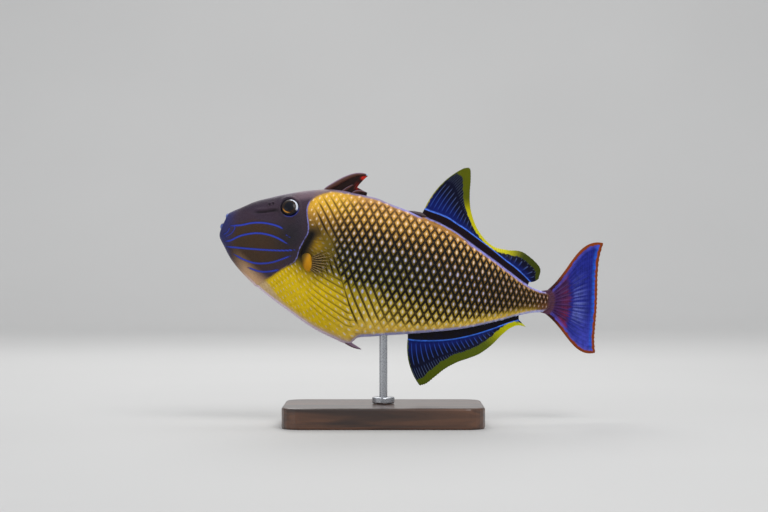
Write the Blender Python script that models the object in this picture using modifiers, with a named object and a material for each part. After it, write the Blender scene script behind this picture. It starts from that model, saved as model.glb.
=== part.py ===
"""Crosshatch triggerfish, male, life size, on a display stand.

The fish swims with its nose a little up and its tail swung a little to its right. It is shaped in
its own frame first: x runs from the snout to the tail, z up through the back, y from left to right.
An empty then tilts it and lifts it over the stand. The stand's underside is the floor, z = 0.
"""

import math

import bmesh
import bpy
import numpy as np
from mathutils import Matrix, Vector

MM = 0.001
GAP = 0.3 * MM

# Pose of the fish over its stand
NOSE_UP = math.radians(8.0)
SNOUT_HEIGHT = 122.5 * MM
SNOUT_X = -102.4 * MM

# The tail end swings round an upright axis, from BEND_START backwards
BEND_START = 135.0 * MM
BEND_RADIUS = 240.0 * MM

# Sections of the body, mouth to tail root, in mm: back x and z, belly x and z, half width
SECTIONS = (
    (7.6, 4.4, 7.6, 4.4, 0.0),
    (6.1, 7.4, 4.8, 1.6, 3.1),
    (4.9, 9.7, 1.6, -1.2, 4.9),
    (6.7, 11.3, 1.2, -5.4, 6.5),
    (12.5, 14.8, 4.8, -11.0, 8.2),
    (20.5, 19.6, 10.8, -19.0, 10.6),
    (30.0, 23.5, 20.5, -27.6, 13.0),
    (41.0, 27.5, 33.5, -36.7, 15.2),
    (53.0, 31.1, 48.5, -45.0, 17.3),
    (66.0, 33.5, 65.0, -53.5, 18.6),
    (79.0, 33.6, 79.5, -58.6, 18.8),
    (89.0, 33.1, 90.0, -60.9, 18.4),
    (95.0, 32.5, 95.4, -56.2, 18.1),
    (104.0, 30.1, 104.0, -54.2, 17.4),
    (116.3, 27.2, 117.0, -51.4, 16.2),
    (129.5, 23.0, 130.0, -48.7, 14.4),
    (142.7, 18.4, 143.0, -45.8, 12.5),
    (156.1, 12.7, 156.0, -42.6, 10.5),
    (169.8, 5.8, 169.5, -38.2, 8.6),
    (183.6, -1.7, 183.0, -33.0, 6.8),
    (194.0, -7.2, 193.8, -28.5, 5.6),
    (203.0, -10.1, 202.5, -25.8, 4.8),
    (209.0, -10.8, 208.5, -24.6, 4.0),
    (212.6, -13.2, 212.3, -21.9, 2.6),
    (214.2, -17.6, 214.2, -17.6, 0.0),
)
RING_STOPS = [0.0, 0.5, 1.0] + [1.0 + 0.5 * step for step in range(1, 43)] + [22.5, 23.0, 23.5, 23.85, 24.0]
RING_POINTS = 28
WIDEST_SHARE = 0.48
# How full the upper and the lower half of a section are, at a few section numbers: 1 is an ellipse
FULLNESS_AT = (0, 4, 7, 9, 11, 13, 17, 24)
FULLNESS_ABOVE = (0.90, 0.75, 0.72, 0.85, 0.95, 1.0, 0.95, 0.9)
FULLNESS_BELOW = (0.90, 0.90, 1.00, 1.20, 1.45, 1.15, 1.0, 0.9)
TAIL_CUT_SECTION = 20.0
TAIL_GAP_SECTIONS = 0.035

# Rear border of the head along the gill cover, nape to throat, in mm
GILL_BORDER = (
    (58.0, 38.0), (54.2, 29.0), (52.8, 20.0), (54.4, 11.5), (55.8, 5.0), (53.0, -1.0),
    (51.2, -8.0), (48.6, -15.0), (42.0, -20.5), (36.0, -26.0), (28.5, -32.0), (21.0, -40.0),
)
GILL_GAP = 0.45 * MM

EYE_AT = (41.8 * MM, 19.1 * MM)
EYE_RADIUS = 5.8 * MM
EYE_DEPTH = 3.4 * MM
EYE_SUNK = 1.2 * MM

SECOND_DORSAL_RAYS = 30
ANAL_RAYS = 27
CAUDAL_RAYS = 12
PECTORAL_RAYS = 14

ROD_RADIUS = 2.5 * MM
ROD_SOCKET_DEPTH = 9.0 * MM
ROD_SECTION = 13.55
BASE_SIZE = (124.0 * MM, 78.0 * MM, 13.0 * MM)
BASE_BORE_BOTTOM = 4.0 * MM
COLLAR_RADIUS = 7.0 * MM
COLLAR_HEIGHT = 4.0 * MM

for old in list(bpy.data.objects):
    bpy.data.objects.remove(old)

fish_parts = bpy.data.collections.new("crosshatch_triggerfish")
helpers = bpy.data.collections.new("cutters")
bpy.context.scene.collection.children.link(fish_parts)
bpy.context.scene.collection.children.link(helpers)

fish_pose = bpy.data.objects.new("fish_pose", None)
fish_pose.rotation_euler = (0.0, NOSE_UP, 0.0)
fish_pose.location = (SNOUT_X, 0.0, SNOUT_HEIGHT)
fish_parts.objects.link(fish_pose)


def painted(name, colour, roughness=0.45, metallic=0.0):
    material = bpy.data.materials.new(name)
    material.use_nodes = True
    shader = material.node_tree.nodes["Principled BSDF"]
    shader.inputs["Base Color"].default_value = (*colour, 1.0)
    shader.inputs["Roughness"].default_value = roughness
    shader.inputs["Metallic"].default_value = metallic
    return material


HEAD_GREY = painted("head_grey", (0.13, 0.11, 0.12))
FLANK_YELLOW = painted("flank_yellow", (0.62, 0.42, 0.05))
FIN_BLUE = painted("fin_blue", (0.02, 0.06, 0.35))
TAIL_BLUE = painted("tail_blue", (0.07, 0.09, 0.50))
SPINE_BROWN = painted("spine_brown", (0.16, 0.06, 0.03))
PECTORAL_YELLOW = painted("pectoral_yellow", (0.80, 0.50, 0.02))
FIN_CLEAR = painted("fin_clear", (0.75, 0.70, 0.50), 0.3)
EYE_DARK = painted("eye_dark", (0.02, 0.015, 0.02), 0.08)
BASE_WOOD = painted("base_wood", (0.05, 0.03, 0.02), 0.35)
ROD_STEEL = painted("rod_steel", (0.60, 0.60, 0.62), 0.25, 1.0)


def smooth_through(knots, values, at):
    """A smooth curve through values at knots, read at any place between them."""
    knots = np.asarray(knots, float)
    values = np.asarray(values, float)
    at = np.clip(np.asarray(at, float), knots[0], knots[-1])
    steps = np.diff(knots)
    rises = np.diff(values) / steps
    slopes = np.empty(len(knots))
    slopes[0], slopes[-1] = rises[0], rises[-1]
    slopes[1:-1] = (steps[1:] * rises[:-1] + steps[:-1] * rises[1:]) / (steps[1:] + steps[:-1])
    span = np.clip(np.searchsorted(knots, at, side="right") - 1, 0, len(steps) - 1)
    width = steps[span]
    share = (at - knots[span]) / width
    return (
        values[span] * (1 + 2 * share) * (1 - share) ** 2
        + slopes[span] * width * share * (1 - share) ** 2
        + values[span + 1] * share**2 * (3 - 2 * share)
        + slopes[span + 1] * width * share**2 * (share - 1)
    )


def smooth_points(knots, points, at):
    """The same for points: one column for each coordinate."""
    return np.stack([smooth_through(knots, column, at) for column in zip(*points)], axis=-1)


def swung(points):
    """Bends points of the straight fish round the upright axis of the tail's swing."""
    points = np.array(points, float)
    x, y = points[..., 0], points[..., 1]
    angle = np.maximum(x - BEND_START, 0.0) / BEND_RADIUS
    reach = BEND_RADIUS - y
    bent = points.copy()
    bent[..., 0] = np.where(x > BEND_START, BEND_START + reach * np.sin(angle), x)
    bent[..., 1] = np.where(x > BEND_START, BEND_RADIUS - reach * np.cos(angle), y)
    return bent


def body_point(section, angle):
    """A point of the straight body's skin: angle runs from 90 degrees at the back to -90 at the belly."""
    knots = range(len(SECTIONS))
    back_x, back_z, belly_x, belly_z, half_width = smooth_points(knots, SECTIONS, section).T * MM
    middle_x = back_x + WIDEST_SHARE * (belly_x - back_x)
    middle_z = back_z + WIDEST_SHARE * (belly_z - back_z)
    above = smooth_through(FULLNESS_AT, FULLNESS_ABOVE, section)
    below = smooth_through(FULLNESS_AT, FULLNESS_BELOW, section)
    rise, side = np.sin(angle), np.cos(angle)
    edge_x = np.where(rise > 0, back_x - middle_x, middle_x - belly_x)
    edge_z = np.where(rise > 0, back_z - middle_z, middle_z - belly_z)
    spread = np.abs(side) ** np.where(rise > 0, above, below)
    return np.stack(
        [middle_x + rise * edge_x, np.sign(side) * half_width * spread, middle_z + rise * edge_z],
        axis=-1,
    )


def skin_at(x, z):
    """The left skin's point and outward normal at a place of the straight fish's side view."""
    section, angle, step = 8.0, 0.0, 1e-4
    for _ in range(60):
        here = body_point(np.array(section), np.array(angle))
        along = (body_point(np.array(section + step), np.array(angle)) - here) / step
        around = (body_point(np.array(section), np.array(angle + step)) - here) / step
        miss = np.array([x - here[0], z - here[2]])
        sides = np.array([[along[0], around[0]], [along[2], around[2]]])
        move = np.linalg.solve(sides, miss)
        section = float(np.clip(section + np.clip(move[0], -1, 1), 0.3, 22.5))
        angle = float(np.clip(angle + np.clip(move[1], -0.3, 0.3), -1.4, 1.4))
    normal = np.cross(along, around)
    normal /= np.linalg.norm(normal)
    if normal[1] < 0:
        normal = -normal
    here, normal = here * (1, -1, 1), normal * (1, -1, 1)
    return here, normal


def new_object(name, mesh, material, collection=fish_parts, parent=fish_pose):
    part = bpy.data.objects.new(name, mesh)
    collection.objects.link(part)
    part.parent = parent
    if material is not None:
        mesh.materials.append(material)
    if collection is helpers:
        part.hide_render = True
        part.display_type = "WIRE"
    return part


def mesh_of(name, points, faces):
    mesh = bpy.data.meshes.new(name)
    mesh.from_pydata([tuple(p) for p in points], [], faces)
    shape = bmesh.new()
    shape.from_mesh(mesh)
    bmesh.ops.recalc_face_normals(shape, faces=shape.faces)
    shape.to_mesh(mesh)
    shape.free()
    mesh.shade_smooth()
    return mesh


def flesh(name, first, last, material, collection=fish_parts, grown=0.0):
    """The body between two sections as one closed solid, its ends capped, grown outwards if asked."""
    stops = [first] + [stop for stop in RING_STOPS if first < stop < last] + [last]
    at_snout, at_tail = stops[0] == RING_STOPS[0], stops[-1] == RING_STOPS[-1]
    rings = stops[at_snout:len(stops) - at_tail]
    angles = math.pi / 2 + np.arange(RING_POINTS) * 2 * math.pi / RING_POINTS
    points = np.concatenate([body_point(np.full(RING_POINTS, stop), angles) for stop in rings])
    faces = []
    for ring in range(len(rings) - 1):
        for spot in range(RING_POINTS):
            after = (spot + 1) % RING_POINTS
            low, high = ring * RING_POINTS, (ring + 1) * RING_POINTS
            faces.append((low + spot, low + after, high + after, high + spot))
    for pointed, stop, start in ((at_snout, first, 0), (at_tail, last, len(points) - RING_POINTS)):
        ring = [start + spot for spot in range(RING_POINTS)]
        if pointed:
            tip = body_point(np.array(float(stop)), np.array(0.0)) * (1, 0, 1)
            points = np.concatenate([points, tip[None]])
            tip = len(points) - 1
            faces += [(tip, ring[spot], ring[(spot + 1) % RING_POINTS]) for spot in range(RING_POINTS)]
        else:
            faces.append(tuple(ring))
    part = new_object(name, mesh_of(name, swung(points), faces), material, collection)
    if grown:
        normals = [vertex.normal.copy() for vertex in part.data.vertices]
        for vertex, normal in zip(part.data.vertices, normals):
            vertex.co += normal * grown
    return part


def as_mesh(part):
    """Turns a curve into a mesh object with its caps welded, and removes the curve."""
    bpy.context.view_layer.update()
    graph = bpy.context.evaluated_depsgraph_get()
    mesh = bpy.data.meshes.new_from_object(part.evaluated_get(graph))
    shape = bmesh.new()
    shape.from_mesh(mesh)
    bmesh.ops.remove_doubles(shape, verts=shape.verts, dist=1e-6)
    bmesh.ops.recalc_face_normals(shape, faces=shape.faces)
    shape.to_mesh(mesh)
    shape.free()
    name, collection, place = part.name, part.users_collection[0], part.matrix_world.copy()
    parent = part.parent
    bpy.data.objects.remove(part)
    made = new_object(name, mesh, None, collection, parent)
    bpy.context.view_layer.update()
    made.matrix_world = place
    return made


def applied(part):
    """Puts a part's modifiers into its mesh and keeps its largest closed surface."""
    bpy.context.view_layer.update()
    graph = bpy.context.evaluated_depsgraph_get()
    mesh = bpy.data.meshes.new_from_object(part.evaluated_get(graph))
    part.modifiers.clear()
    part.data = mesh
    shape = bmesh.new()
    shape.from_mesh(mesh)
    bmesh.ops.remove_doubles(shape, verts=shape.verts, dist=1e-6)
    left = set(shape.verts)
    pieces = []
    while left:
        piece, waiting = set(), [left.pop()]
        while waiting:
            vertex = waiting.pop()
            piece.add(vertex)
            for edge in vertex.link_edges:
                other = edge.other_vert(vertex)
                if other in left:
                    left.remove(other)
                    waiting.append(other)
        pieces.append(piece)
    pieces.sort(key=len)
    for piece in pieces[:-1]:
        bmesh.ops.delete(shape, geom=list(piece), context="VERTS")
    bmesh.ops.triangulate(shape, faces=shape.faces)
    shape.to_mesh(mesh)
    shape.free()
    return part


def cut(part, cutter, operation="DIFFERENCE", solver="EXACT"):
    modifier = part.modifiers.new(operation.lower(), "BOOLEAN")
    modifier.operation = operation
    modifier.solver = solver
    modifier.object = cutter
    return applied(part)


def fuse(part, pieces):
    """Joins closed mesh pieces to a part by one union, and removes them."""
    group = bpy.data.collections.new(part.name + "_pieces")
    helpers.children.link(group)
    for piece in pieces:
        for owner in list(piece.users_collection):
            owner.objects.unlink(piece)
        group.objects.link(piece)
    modifier = part.modifiers.new("join", "BOOLEAN")
    modifier.operation = "UNION"
    modifier.solver = "EXACT"
    modifier.operand_type = "COLLECTION"
    modifier.collection = group
    applied(part)
    for piece in list(group.objects):
        bpy.data.objects.remove(piece)
    bpy.data.collections.remove(group)
    return part


def tube(name, points, radii, sides=2, collection=helpers, ring=False):
    """A tapered bar along points of the straight fish, as a closed mesh."""
    path = bpy.data.curves.new(name, "CURVE")
    path.dimensions = "3D"
    path.bevel_depth = 1.0
    path.bevel_resolution = sides
    path.use_fill_caps = True
    line = path.splines.new("POLY")
    line.points.add(len(points) - 1)
    line.use_cyclic_u = ring
    for spot, place, radius in zip(line.points, swung(points), radii):
        spot.co = (*place, 1.0)
        spot.radius = radius
    part = new_object(name, path, None, collection)
    return as_mesh(part)


def side_tube(name, side, outline, radius, lift=0.0, sides=0):
    """A bar laid along the skin on one side. outline is a list of x and z in mm, lift is outwards."""
    places = []
    for x, z in outline:
        here, normal = skin_at(x * MM, z * MM)
        places.append((here + normal * lift) * (1, side, 1))
    taper = [0.45 if spot in (0, len(places) - 1) else 1.0 for spot in range(len(places))]
    return tube(name, places, [radius * share for share in taper], sides)


def side_view_block(name, outline, half_thickness):
    """A prism across the fish from an outline of its side view in mm."""
    flat = bpy.data.curves.new(name, "CURVE")
    flat.dimensions = "2D"
    flat.fill_mode = "BOTH"
    flat.extrude = half_thickness
    line = flat.splines.new("POLY")
    line.points.add(len(outline) - 1)
    line.use_cyclic_u = True
    for spot, (x, z) in zip(line.points, outline):
        spot.co = (x * MM, z * MM, 0.0, 1.0)
    part = new_object(name, flat, None, helpers)
    part.rotation_euler = (math.pi / 2, 0.0, 0.0)
    return as_mesh(part)


def head_block(name, shift):
    """Everything ahead of the gill border, moved back by shift in mm."""
    border = smooth_points(range(len(GILL_BORDER)), GILL_BORDER, np.linspace(0, len(GILL_BORDER) - 1, 28))
    outline = [(x + shift, z) for x, z in border]
    outline += [(-20.0, -60.0), (-20.0, 45.0), (40.0, 45.0)]
    return side_view_block(name, outline, 40.0 * MM)


def eye_ball(name, side, radius, depth, material, collection):
    """A flattened ball set in the skin, its short axis along the skin's normal."""
    here, normal = skin_at(*EYE_AT)
    normal = Vector(normal * (1, side, 1)).normalized()
    place = Vector(here * (1, side, 1)) - normal * EYE_SUNK
    bpy.ops.mesh.primitive_uv_sphere_add(segments=20, ring_count=12, radius=1.0)
    ball = bpy.context.active_object
    mesh = ball.data
    bpy.data.objects.remove(ball)
    turn = normal.to_track_quat("Z", "Y").to_matrix().to_4x4()
    mesh.transform(Matrix.Translation(place) @ turn @ Matrix.Diagonal((radius, radius, depth, 1.0)))
    mesh.shade_smooth()
    return new_object(name, mesh, material, collection)


def eye_rim(name, side):
    """The soft rim of skin round an eye."""
    here, normal = skin_at(*EYE_AT)
    normal = Vector(normal * (1, side, 1)).normalized()
    place = Vector(here * (1, side, 1)) - normal * 0.1 * MM
    bpy.ops.mesh.primitive_torus_add(
        major_segments=20, minor_segments=8, major_radius=EYE_RADIUS + 0.7 * MM, minor_radius=1.3 * MM
    )
    ring = bpy.context.active_object
    mesh = ring.data
    bpy.data.objects.remove(ring)
    turn = normal.to_track_quat("Z", "Y").to_matrix().to_4x4()
    mesh.transform(Matrix.Translation(place) @ turn @ Matrix.Diagonal((1.0, 1.0, 0.6, 1.0)))
    return new_object(name, mesh, None, helpers)


def lips():
    """Upper and lower lip, each a bar bent round the small mouth. The lower one stands further out."""
    made = []
    for name, corner, cheek, front in (
        ("upper_lip", (4.7, 4.9, 5.0), (4.9, 3.4, 6.4), (5.1, 0.0, 7.1)),
        ("lower_lip", (4.0, 4.9, 3.8), (3.3, 3.6, 2.3), (2.3, 0.0, 1.1)),
    ):
        left = [(x, -y, z) for x, y, z in (corner, cheek)]
        line = np.array([*left, front, cheek, corner]) * MM
        made.append(tube(name, line, [radius * MM for radius in (0.9, 1.6, 2.1, 1.6, 0.9)], 2))
    return made


def lip_fold():
    """The ring-shaped fold of skin behind both lips, as its cutter."""
    angles = np.arange(24) * 2 * math.pi / 24
    places = body_point(np.full(24, 2.35), angles)
    return tube("lip_fold", places, [0.55 * MM] * 24, 1, ring=True)


CHEEK_GROOVES = (
    ((9.5, 3.0), (14.0, 3.6), (20.0, 5.7), (26.0, 6.8), (32.0, 6.8), (38.0, 5.9)),
    ((5.2, -7.9), (9.0, -6.6), (14.0, -3.3), (20.0, -1.0), (26.0, 0.2), (32.5, 0.0), (38.5, -1.4), (43.5, -3.0)),
    ((7.6, -10.9), (15.0, -10.5), (24.0, -10.0), (33.5, -9.3), (42.5, -8.3), (49.0, -7.2)),
    ((13.6, -15.8), (19.0, -17.6), (25.2, -18.5), (31.5, -17.9), (37.5, -16.1), (43.4, -13.1), (46.6, -11.2)),
    ((23.0, -22.4), (29.0, -23.2), (35.0, -22.5), (40.5, -20.6)),
)
PREORBITAL_GROOVE = ((20.6, 13.1), (24.5, 14.2), (28.4, 15.2), (32.7, 16.4), (36.2, 17.4))
NOSTRILS = ((29.6, 18.6), (31.8, 19.5))


def make_head(ahead, eye_sockets):
    head = flesh("head", 0, 12, HEAD_GREY)
    cut(head, ahead, "INTERSECT")
    cut(head, lip_fold())
    fuse(head, lips() + [eye_rim("rim", side) for side in (1, -1)])
    mouth = [(1.0, 0.0, 4.2), (9.6, 0.0, 4.3)]
    bpy.ops.mesh.primitive_cube_add(size=1.0)
    slit = bpy.context.active_object
    slit_mesh = slit.data
    bpy.data.objects.remove(slit)
    front, back = (Vector(p) * MM for p in mouth)
    along = back - front
    lean = Matrix.Rotation(-math.atan2(along.z, along.x), 4, "Y")
    size = Matrix.Diagonal((14.0 * MM, 12.4 * MM, 0.6 * MM, 1.0))
    slit_mesh.transform(Matrix.Translation(front) @ lean @ size)
    slit = new_object("mouth_line", slit_mesh, None, helpers)
    cut(head, slit)
    for side in (1, -1):
        for number, groove in enumerate(CHEEK_GROOVES):
            cut(head, side_tube(f"cheek_groove_{number}_{side}", side, groove, 0.55 * MM))
        cut(head, side_tube(f"preorbital_{side}", side, PREORBITAL_GROOVE, 0.8 * MM))
        for number, (x, z) in enumerate(NOSTRILS):
            here, normal = skin_at(x * MM, z * MM)
            pit = [(here + normal * deep * MM) * (1, side, 1) for deep in (0.6, -1.0)]
            cut(head, tube(f"nostril_{number}_{side}", pit, [0.45 * MM] * 2, 1))
    for socket in eye_sockets:
        cut(head, socket)
    return head


def make_trunk(ahead, rod_socket, pectoral_roots):
    trunk = flesh("trunk", 0, TAIL_CUT_SECTION, FLANK_YELLOW)
    cut(trunk, ahead)
    cut(trunk, rod_socket)
    for root in pectoral_roots:
        cut(trunk, root)
    for side in (1, -1):
        slit = ((58.0, 2.6), (56.6, -0.6), (55.4, -4.0), (54.4, -7.0))
        cut(trunk, side_tube(f"gill_slit_{side}", side, slit, 0.9 * MM))
    return trunk


def fin_solid(name, centre, half_thickness, material, collection=fish_parts):
    """A thin closed sheet round a grid of centre points, split into triangles alike on both faces."""
    centre = np.asarray(centre, float)
    columns, rows = centre.shape[:2]
    along = np.gradient(centre, axis=0)
    out = np.gradient(centre, axis=1)
    normal = np.cross(along, out)
    normal /= np.linalg.norm(normal, axis=-1, keepdims=True)
    shift = normal * np.asarray(half_thickness)[..., None]
    points = np.concatenate([(centre + shift).reshape(-1, 3), (centre - shift).reshape(-1, 3)])
    far = columns * rows

    def spot(column, row):
        return column * rows + row

    faces = []
    for column in range(columns - 1):
        for row in range(rows - 1):
            a, b = spot(column, row), spot(column + 1, row)
            c, d = spot(column + 1, row + 1), spot(column, row + 1)
            faces += [(a, b, c), (a, c, d), (far + c, far + b, far + a), (far + d, far + c, far + a)]
    rim = [spot(column, 0) for column in range(columns)]
    rim += [spot(columns - 1, row) for row in range(1, rows)]
    rim += [spot(column, rows - 1) for column in range(columns - 2, -1, -1)]
    rim += [spot(0, row) for row in range(rows - 2, 0, -1)]
    for here, after in zip(rim, rim[1:] + rim[:1]):
        faces += [(after, here, far + here), (after, far + here, far + after)]
    return new_object(name, mesh_of(name, swung(points), faces), material, collection)


def rayed(rays, rows, root_half, crest, valley, band_rows):
    """Half thickness over a fin's grid: a crest on each ray, a valley between, plain on the fleshy root."""
    columns = 2 * rays - 1
    out = np.linspace(0, 1, rows - band_rows)
    ridge = np.where(np.arange(columns) % 2 == 0, 1.0, 0.0)[:, None]
    thin = valley[0] + (valley[1] - valley[0]) * out
    thick = crest[0] + (crest[1] - crest[0]) * out
    blade = thin + ridge * (thick - thin)
    root = np.repeat(np.linspace(root_half[0], root_half[1], band_rows)[None], columns, axis=0)
    return np.concatenate([root, blade], axis=1) * MM


def median_fin(name, rays, at, root, foot, margin, lean, bow, material):
    """Second dorsal or anal fin: root line inside the body, foot of the rays, and margin, in mm."""
    columns = 2 * rays - 1
    share = np.linspace(0, 1, columns)
    inside = smooth_points(at, root, share)
    rise = smooth_points(at, foot, share)
    tip = smooth_points(at, margin, share)
    sway = smooth_through(at, lean, share)
    swell = smooth_through(at, bow, share)
    grid = [np.insert(inside, 1, 0.0, axis=1), np.insert((inside + rise) / 2, 1, 0.0, axis=1)]
    for out in np.linspace(0, 1, 5):
        place = rise + (tip - rise) * out
        across = np.stack([-(tip - rise)[:, 1], (tip - rise)[:, 0]], axis=1)
        across /= np.linalg.norm(across, axis=1, keepdims=True)
        place = place + across * (swell * 4 * out * (1 - out))[:, None]
        grid.append(np.insert(place, 1, sway * out**1.4, axis=1))
    centre = np.stack(grid, axis=1) * MM
    thick = rayed(rays, 7, (1.9, 1.5), (0.60, 0.42), (0.28, 0.25), 2)
    return fin_solid(name, centre, thick, material)


def fin_foot_ridge(name, line, radii):
    """The fleshy ridge that leads up to the front of a fin."""
    return tube(name, [(x * MM, 0.0, z * MM) for x, z in line], [r * MM for r in radii], 2)


def second_dorsal():
    at = (0, 0.07, 0.14, 0.22, 0.30, 0.37, 0.45, 0.55, 0.65, 0.75, 0.85, 0.93, 1.0)
    foot = [(124.9 + 72.4 * share, z) for share, z in zip(
        at, (28.9, 27.7, 26.7, 25.0, 22.2, 19.9, 16.6, 12.4, 8.3, 4.3, 0.6, -3.0, -6.5))]
    root = [(x - 2.6 + 1.2 * share, z - 7.2 + 1.0 * share) for (x, z), share in zip(foot, at)]
    margin = ((146.0, 58.4), (149.8, 58.8), (151.2, 53.0), (151.9, 44.0), (153.0, 37.2), (154.6, 32.0),
              (158.8, 24.0), (165.6, 16.6), (173.2, 12.2), (181.5, 11.5), (192.2, 11.1), (203.0, 3.4),
              (203.0, -3.6))
    lean = (0, 0.2, 0.5, 1.0, 2.0, 3.2, 4.8, 6.2, 6.4, 4.4, 1.4, -0.4, -1.0)
    bow = (3.2, 2.5, 1.8, 1.1, 0.6, 0.4, 0.2, 0, 0, 0, 0, -0.3, -0.8)
    fin = median_fin("second_dorsal_fin", SECOND_DORSAL_RAYS, at, root, foot, margin, lean, bow, FIN_BLUE)
    line = ((111.0, 26.0), (115.5, 26.3), (120.0, 26.2), (125.0, 25.6), (129.0, 23.8))
    return fuse(fin, [fin_foot_ridge("dorsal_ridge", line, (0.9, 1.3, 1.6, 1.7, 1.2))])


def anal():
    at = (0, 0.06, 0.13, 0.22, 0.32, 0.43, 0.54, 0.65, 0.76, 0.87, 0.95, 1.0)
    foot = [(126.0 + 68.0 * share, z) for share, z in zip(
        at, (-51.6, -51.6, -51.2, -50.4, -49.2, -47.3, -44.7, -41.7, -38.3, -34.7, -32.2, -30.6))]
    root = [(x - 1.0, z + 6.4) for x, z in foot]
    margin = ((137.4, -80.0), (141.2, -78.3), (146.0, -73.3), (151.4, -67.6), (158.2, -62.5), (165.0, -58.9),
              (171.2, -55.2), (177.6, -48.8), (183.0, -41.2), (188.0, -36.0), (193.0, -34.0), (197.6, -34.4))
    lean = (0, -0.2, -0.4, -0.8, -1.4, -2.2, -3.2, -4.6, -6.0, -6.6, -6.0, -4.6)
    bow = (-3.0, -2.5, -1.9, -1.2, -0.8, -0.4, 0, 0, 0, 0, 0, 0)
    return median_fin("anal_fin", ANAL_RAYS, at, root, foot, margin, lean, bow, FIN_BLUE)


def caudal():
    """Tail fin: each ray is one ridge at the root and two from its fork outwards."""
    rays, rows, parts = CAUDAL_RAYS, 8, 4
    columns = rays * parts + 1
    share = np.linspace(0, 1, columns)
    at = (0, 0.12, 0.26, 0.42, 0.58, 0.74, 0.88, 1.0)
    root = ((203.5, -11.6), (204.5, -12.6), (205.5, -14.4), (206.0, -16.6),
            (206.0, -18.8), (205.5, -20.8), (204.5, -22.6), (203.5, -23.8))
    foot = ((210.2, -9.9), (212.2, -11.6), (213.6, -13.8), (214.4, -16.2),
            (214.4, -19.0), (213.6, -21.4), (212.6, -23.2), (211.0, -24.9))
    margin = ((245.2, 24.9), (243.8, 15.5), (244.2, 4.6), (245.8, -7.0),
              (247.1, -18.0), (247.8, -28.4), (248.6, -37.4), (250.6, -45.6))
    bow = (6.4, 4.2, 2.1, 0.6, -0.5, -1.7, -3.4, -5.2)
    inner, rise, tip = (smooth_points(at, line, share) for line in (root, foot, margin))
    swell = smooth_through(at, bow, share)
    grid = [np.insert(inner, 1, 0.0, axis=1)]
    blade = rows - 1
    across = np.stack([-(tip - rise)[:, 1], (tip - rise)[:, 0]], axis=1)
    across /= np.linalg.norm(across, axis=1, keepdims=True)
    for out in np.linspace(0, 1, blade):
        place = rise + (tip - rise) * out + across * (swell * 4 * out**2 * (1 - out**2))[:, None]
        grid.append(np.insert(place, 1, 0.0, axis=1))
    centre = np.stack(grid, axis=1) * MM
    out = np.linspace(0, 1, blade)
    forked = np.clip((out - 0.30) / 0.2, 0, 1)
    edge = np.full(blade, 0.26)
    flank = 0.50 - 0.10 * out
    keel = (0.95 - 0.6 * out) * (1 - forked) + 0.28 * forked
    pattern = np.stack([edge, flank, keel, flank])
    blade_half = np.concatenate([np.tile(pattern, (rays, 1)), edge[None]])
    half = np.concatenate([np.full((columns, 1), 1.5), blade_half], axis=1) * MM
    half[:, 1] = np.maximum(half[:, 1], 1.1 * MM)
    return fin_solid("caudal_fin", centre, half, TAIL_BLUE)


PECTORAL_AT = (58.2 * MM, -13.5 * MM)


def pectoral_lobe(name, side, grown=0.0, collection=fish_parts):
    """The fleshy oval base of a pectoral fin, half sunk in the flank."""
    here, normal = skin_at(*PECTORAL_AT)
    normal = Vector(normal * (1, side, 1)).normalized()
    bpy.ops.mesh.primitive_uv_sphere_add(segments=16, ring_count=10, radius=1.0)
    ball = bpy.context.active_object
    mesh = ball.data
    bpy.data.objects.remove(ball)
    turn = Matrix.Rotation(math.radians(-6.0), 4, "Y")
    size = Matrix.Diagonal((3.0 * MM + grown, 2.6 * MM + grown, 5.6 * MM + grown, 1.0))
    mesh.transform(Matrix.Translation(Vector(here * (1, side, 1)) + normal * 0.6 * MM) @ turn @ size)
    mesh.shade_smooth()
    return new_object(name, mesh, PECTORAL_YELLOW if collection is fish_parts else None, collection)


def pectoral_fan(name, side):
    """The clear fan of a pectoral fin, standing a little off the flank."""
    columns, rows = 2 * PECTORAL_RAYS - 1, 5
    here, _ = skin_at(*PECTORAL_AT)
    angles = np.radians(np.linspace(40, -46, columns))
    length = smooth_through((0, 0.35, 0.7, 1.0), (17.5, 22.0, 19.0, 12.5), np.linspace(0, 1, columns))
    root_z = np.linspace(4.0, -4.2, columns)
    grid = []
    for out in np.linspace(0, 1, rows):
        reach = 2.4 + out * length * np.cos(angles)
        rise = root_z + out * length * np.sin(angles) * 0.75
        away = 1.1 + 0.25 * reach + 0.8 * out**2
        grid.append(np.stack([
            here[0] / MM + reach, side * (here[1] / MM - away), here[2] / MM + rise], axis=-1))
    centre = np.stack(grid, axis=1) * MM
    half = rayed(PECTORAL_RAYS, rows, (0.7, 0.7), (0.50, 0.32), (0.26, 0.25), 1)
    return fin_solid(name, centre, half, FIN_CLEAR)


def first_dorsal_spine(name="first_dorsal_spine", grown=0.0, collection=fish_parts):
    """The stout locking spine, laid half back."""
    edge = ((60.0, 28.5), (62.8, 32.6), (67.4, 36.6), (73.1, 41.0), (79.0, 44.4), (84.0, 45.6), (87.6, 45.7))
    radii = (1.7, 1.8, 1.7, 1.5, 1.25, 0.95, 0.45)
    places = [(x * MM, 0.0, z * MM) for x, z in edge]
    spine = tube(name, places, [radius * MM + grown for radius in radii], 2, collection)
    if not grown:
        spine.data.materials.append(SPINE_BROWN)
    return spine


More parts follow.
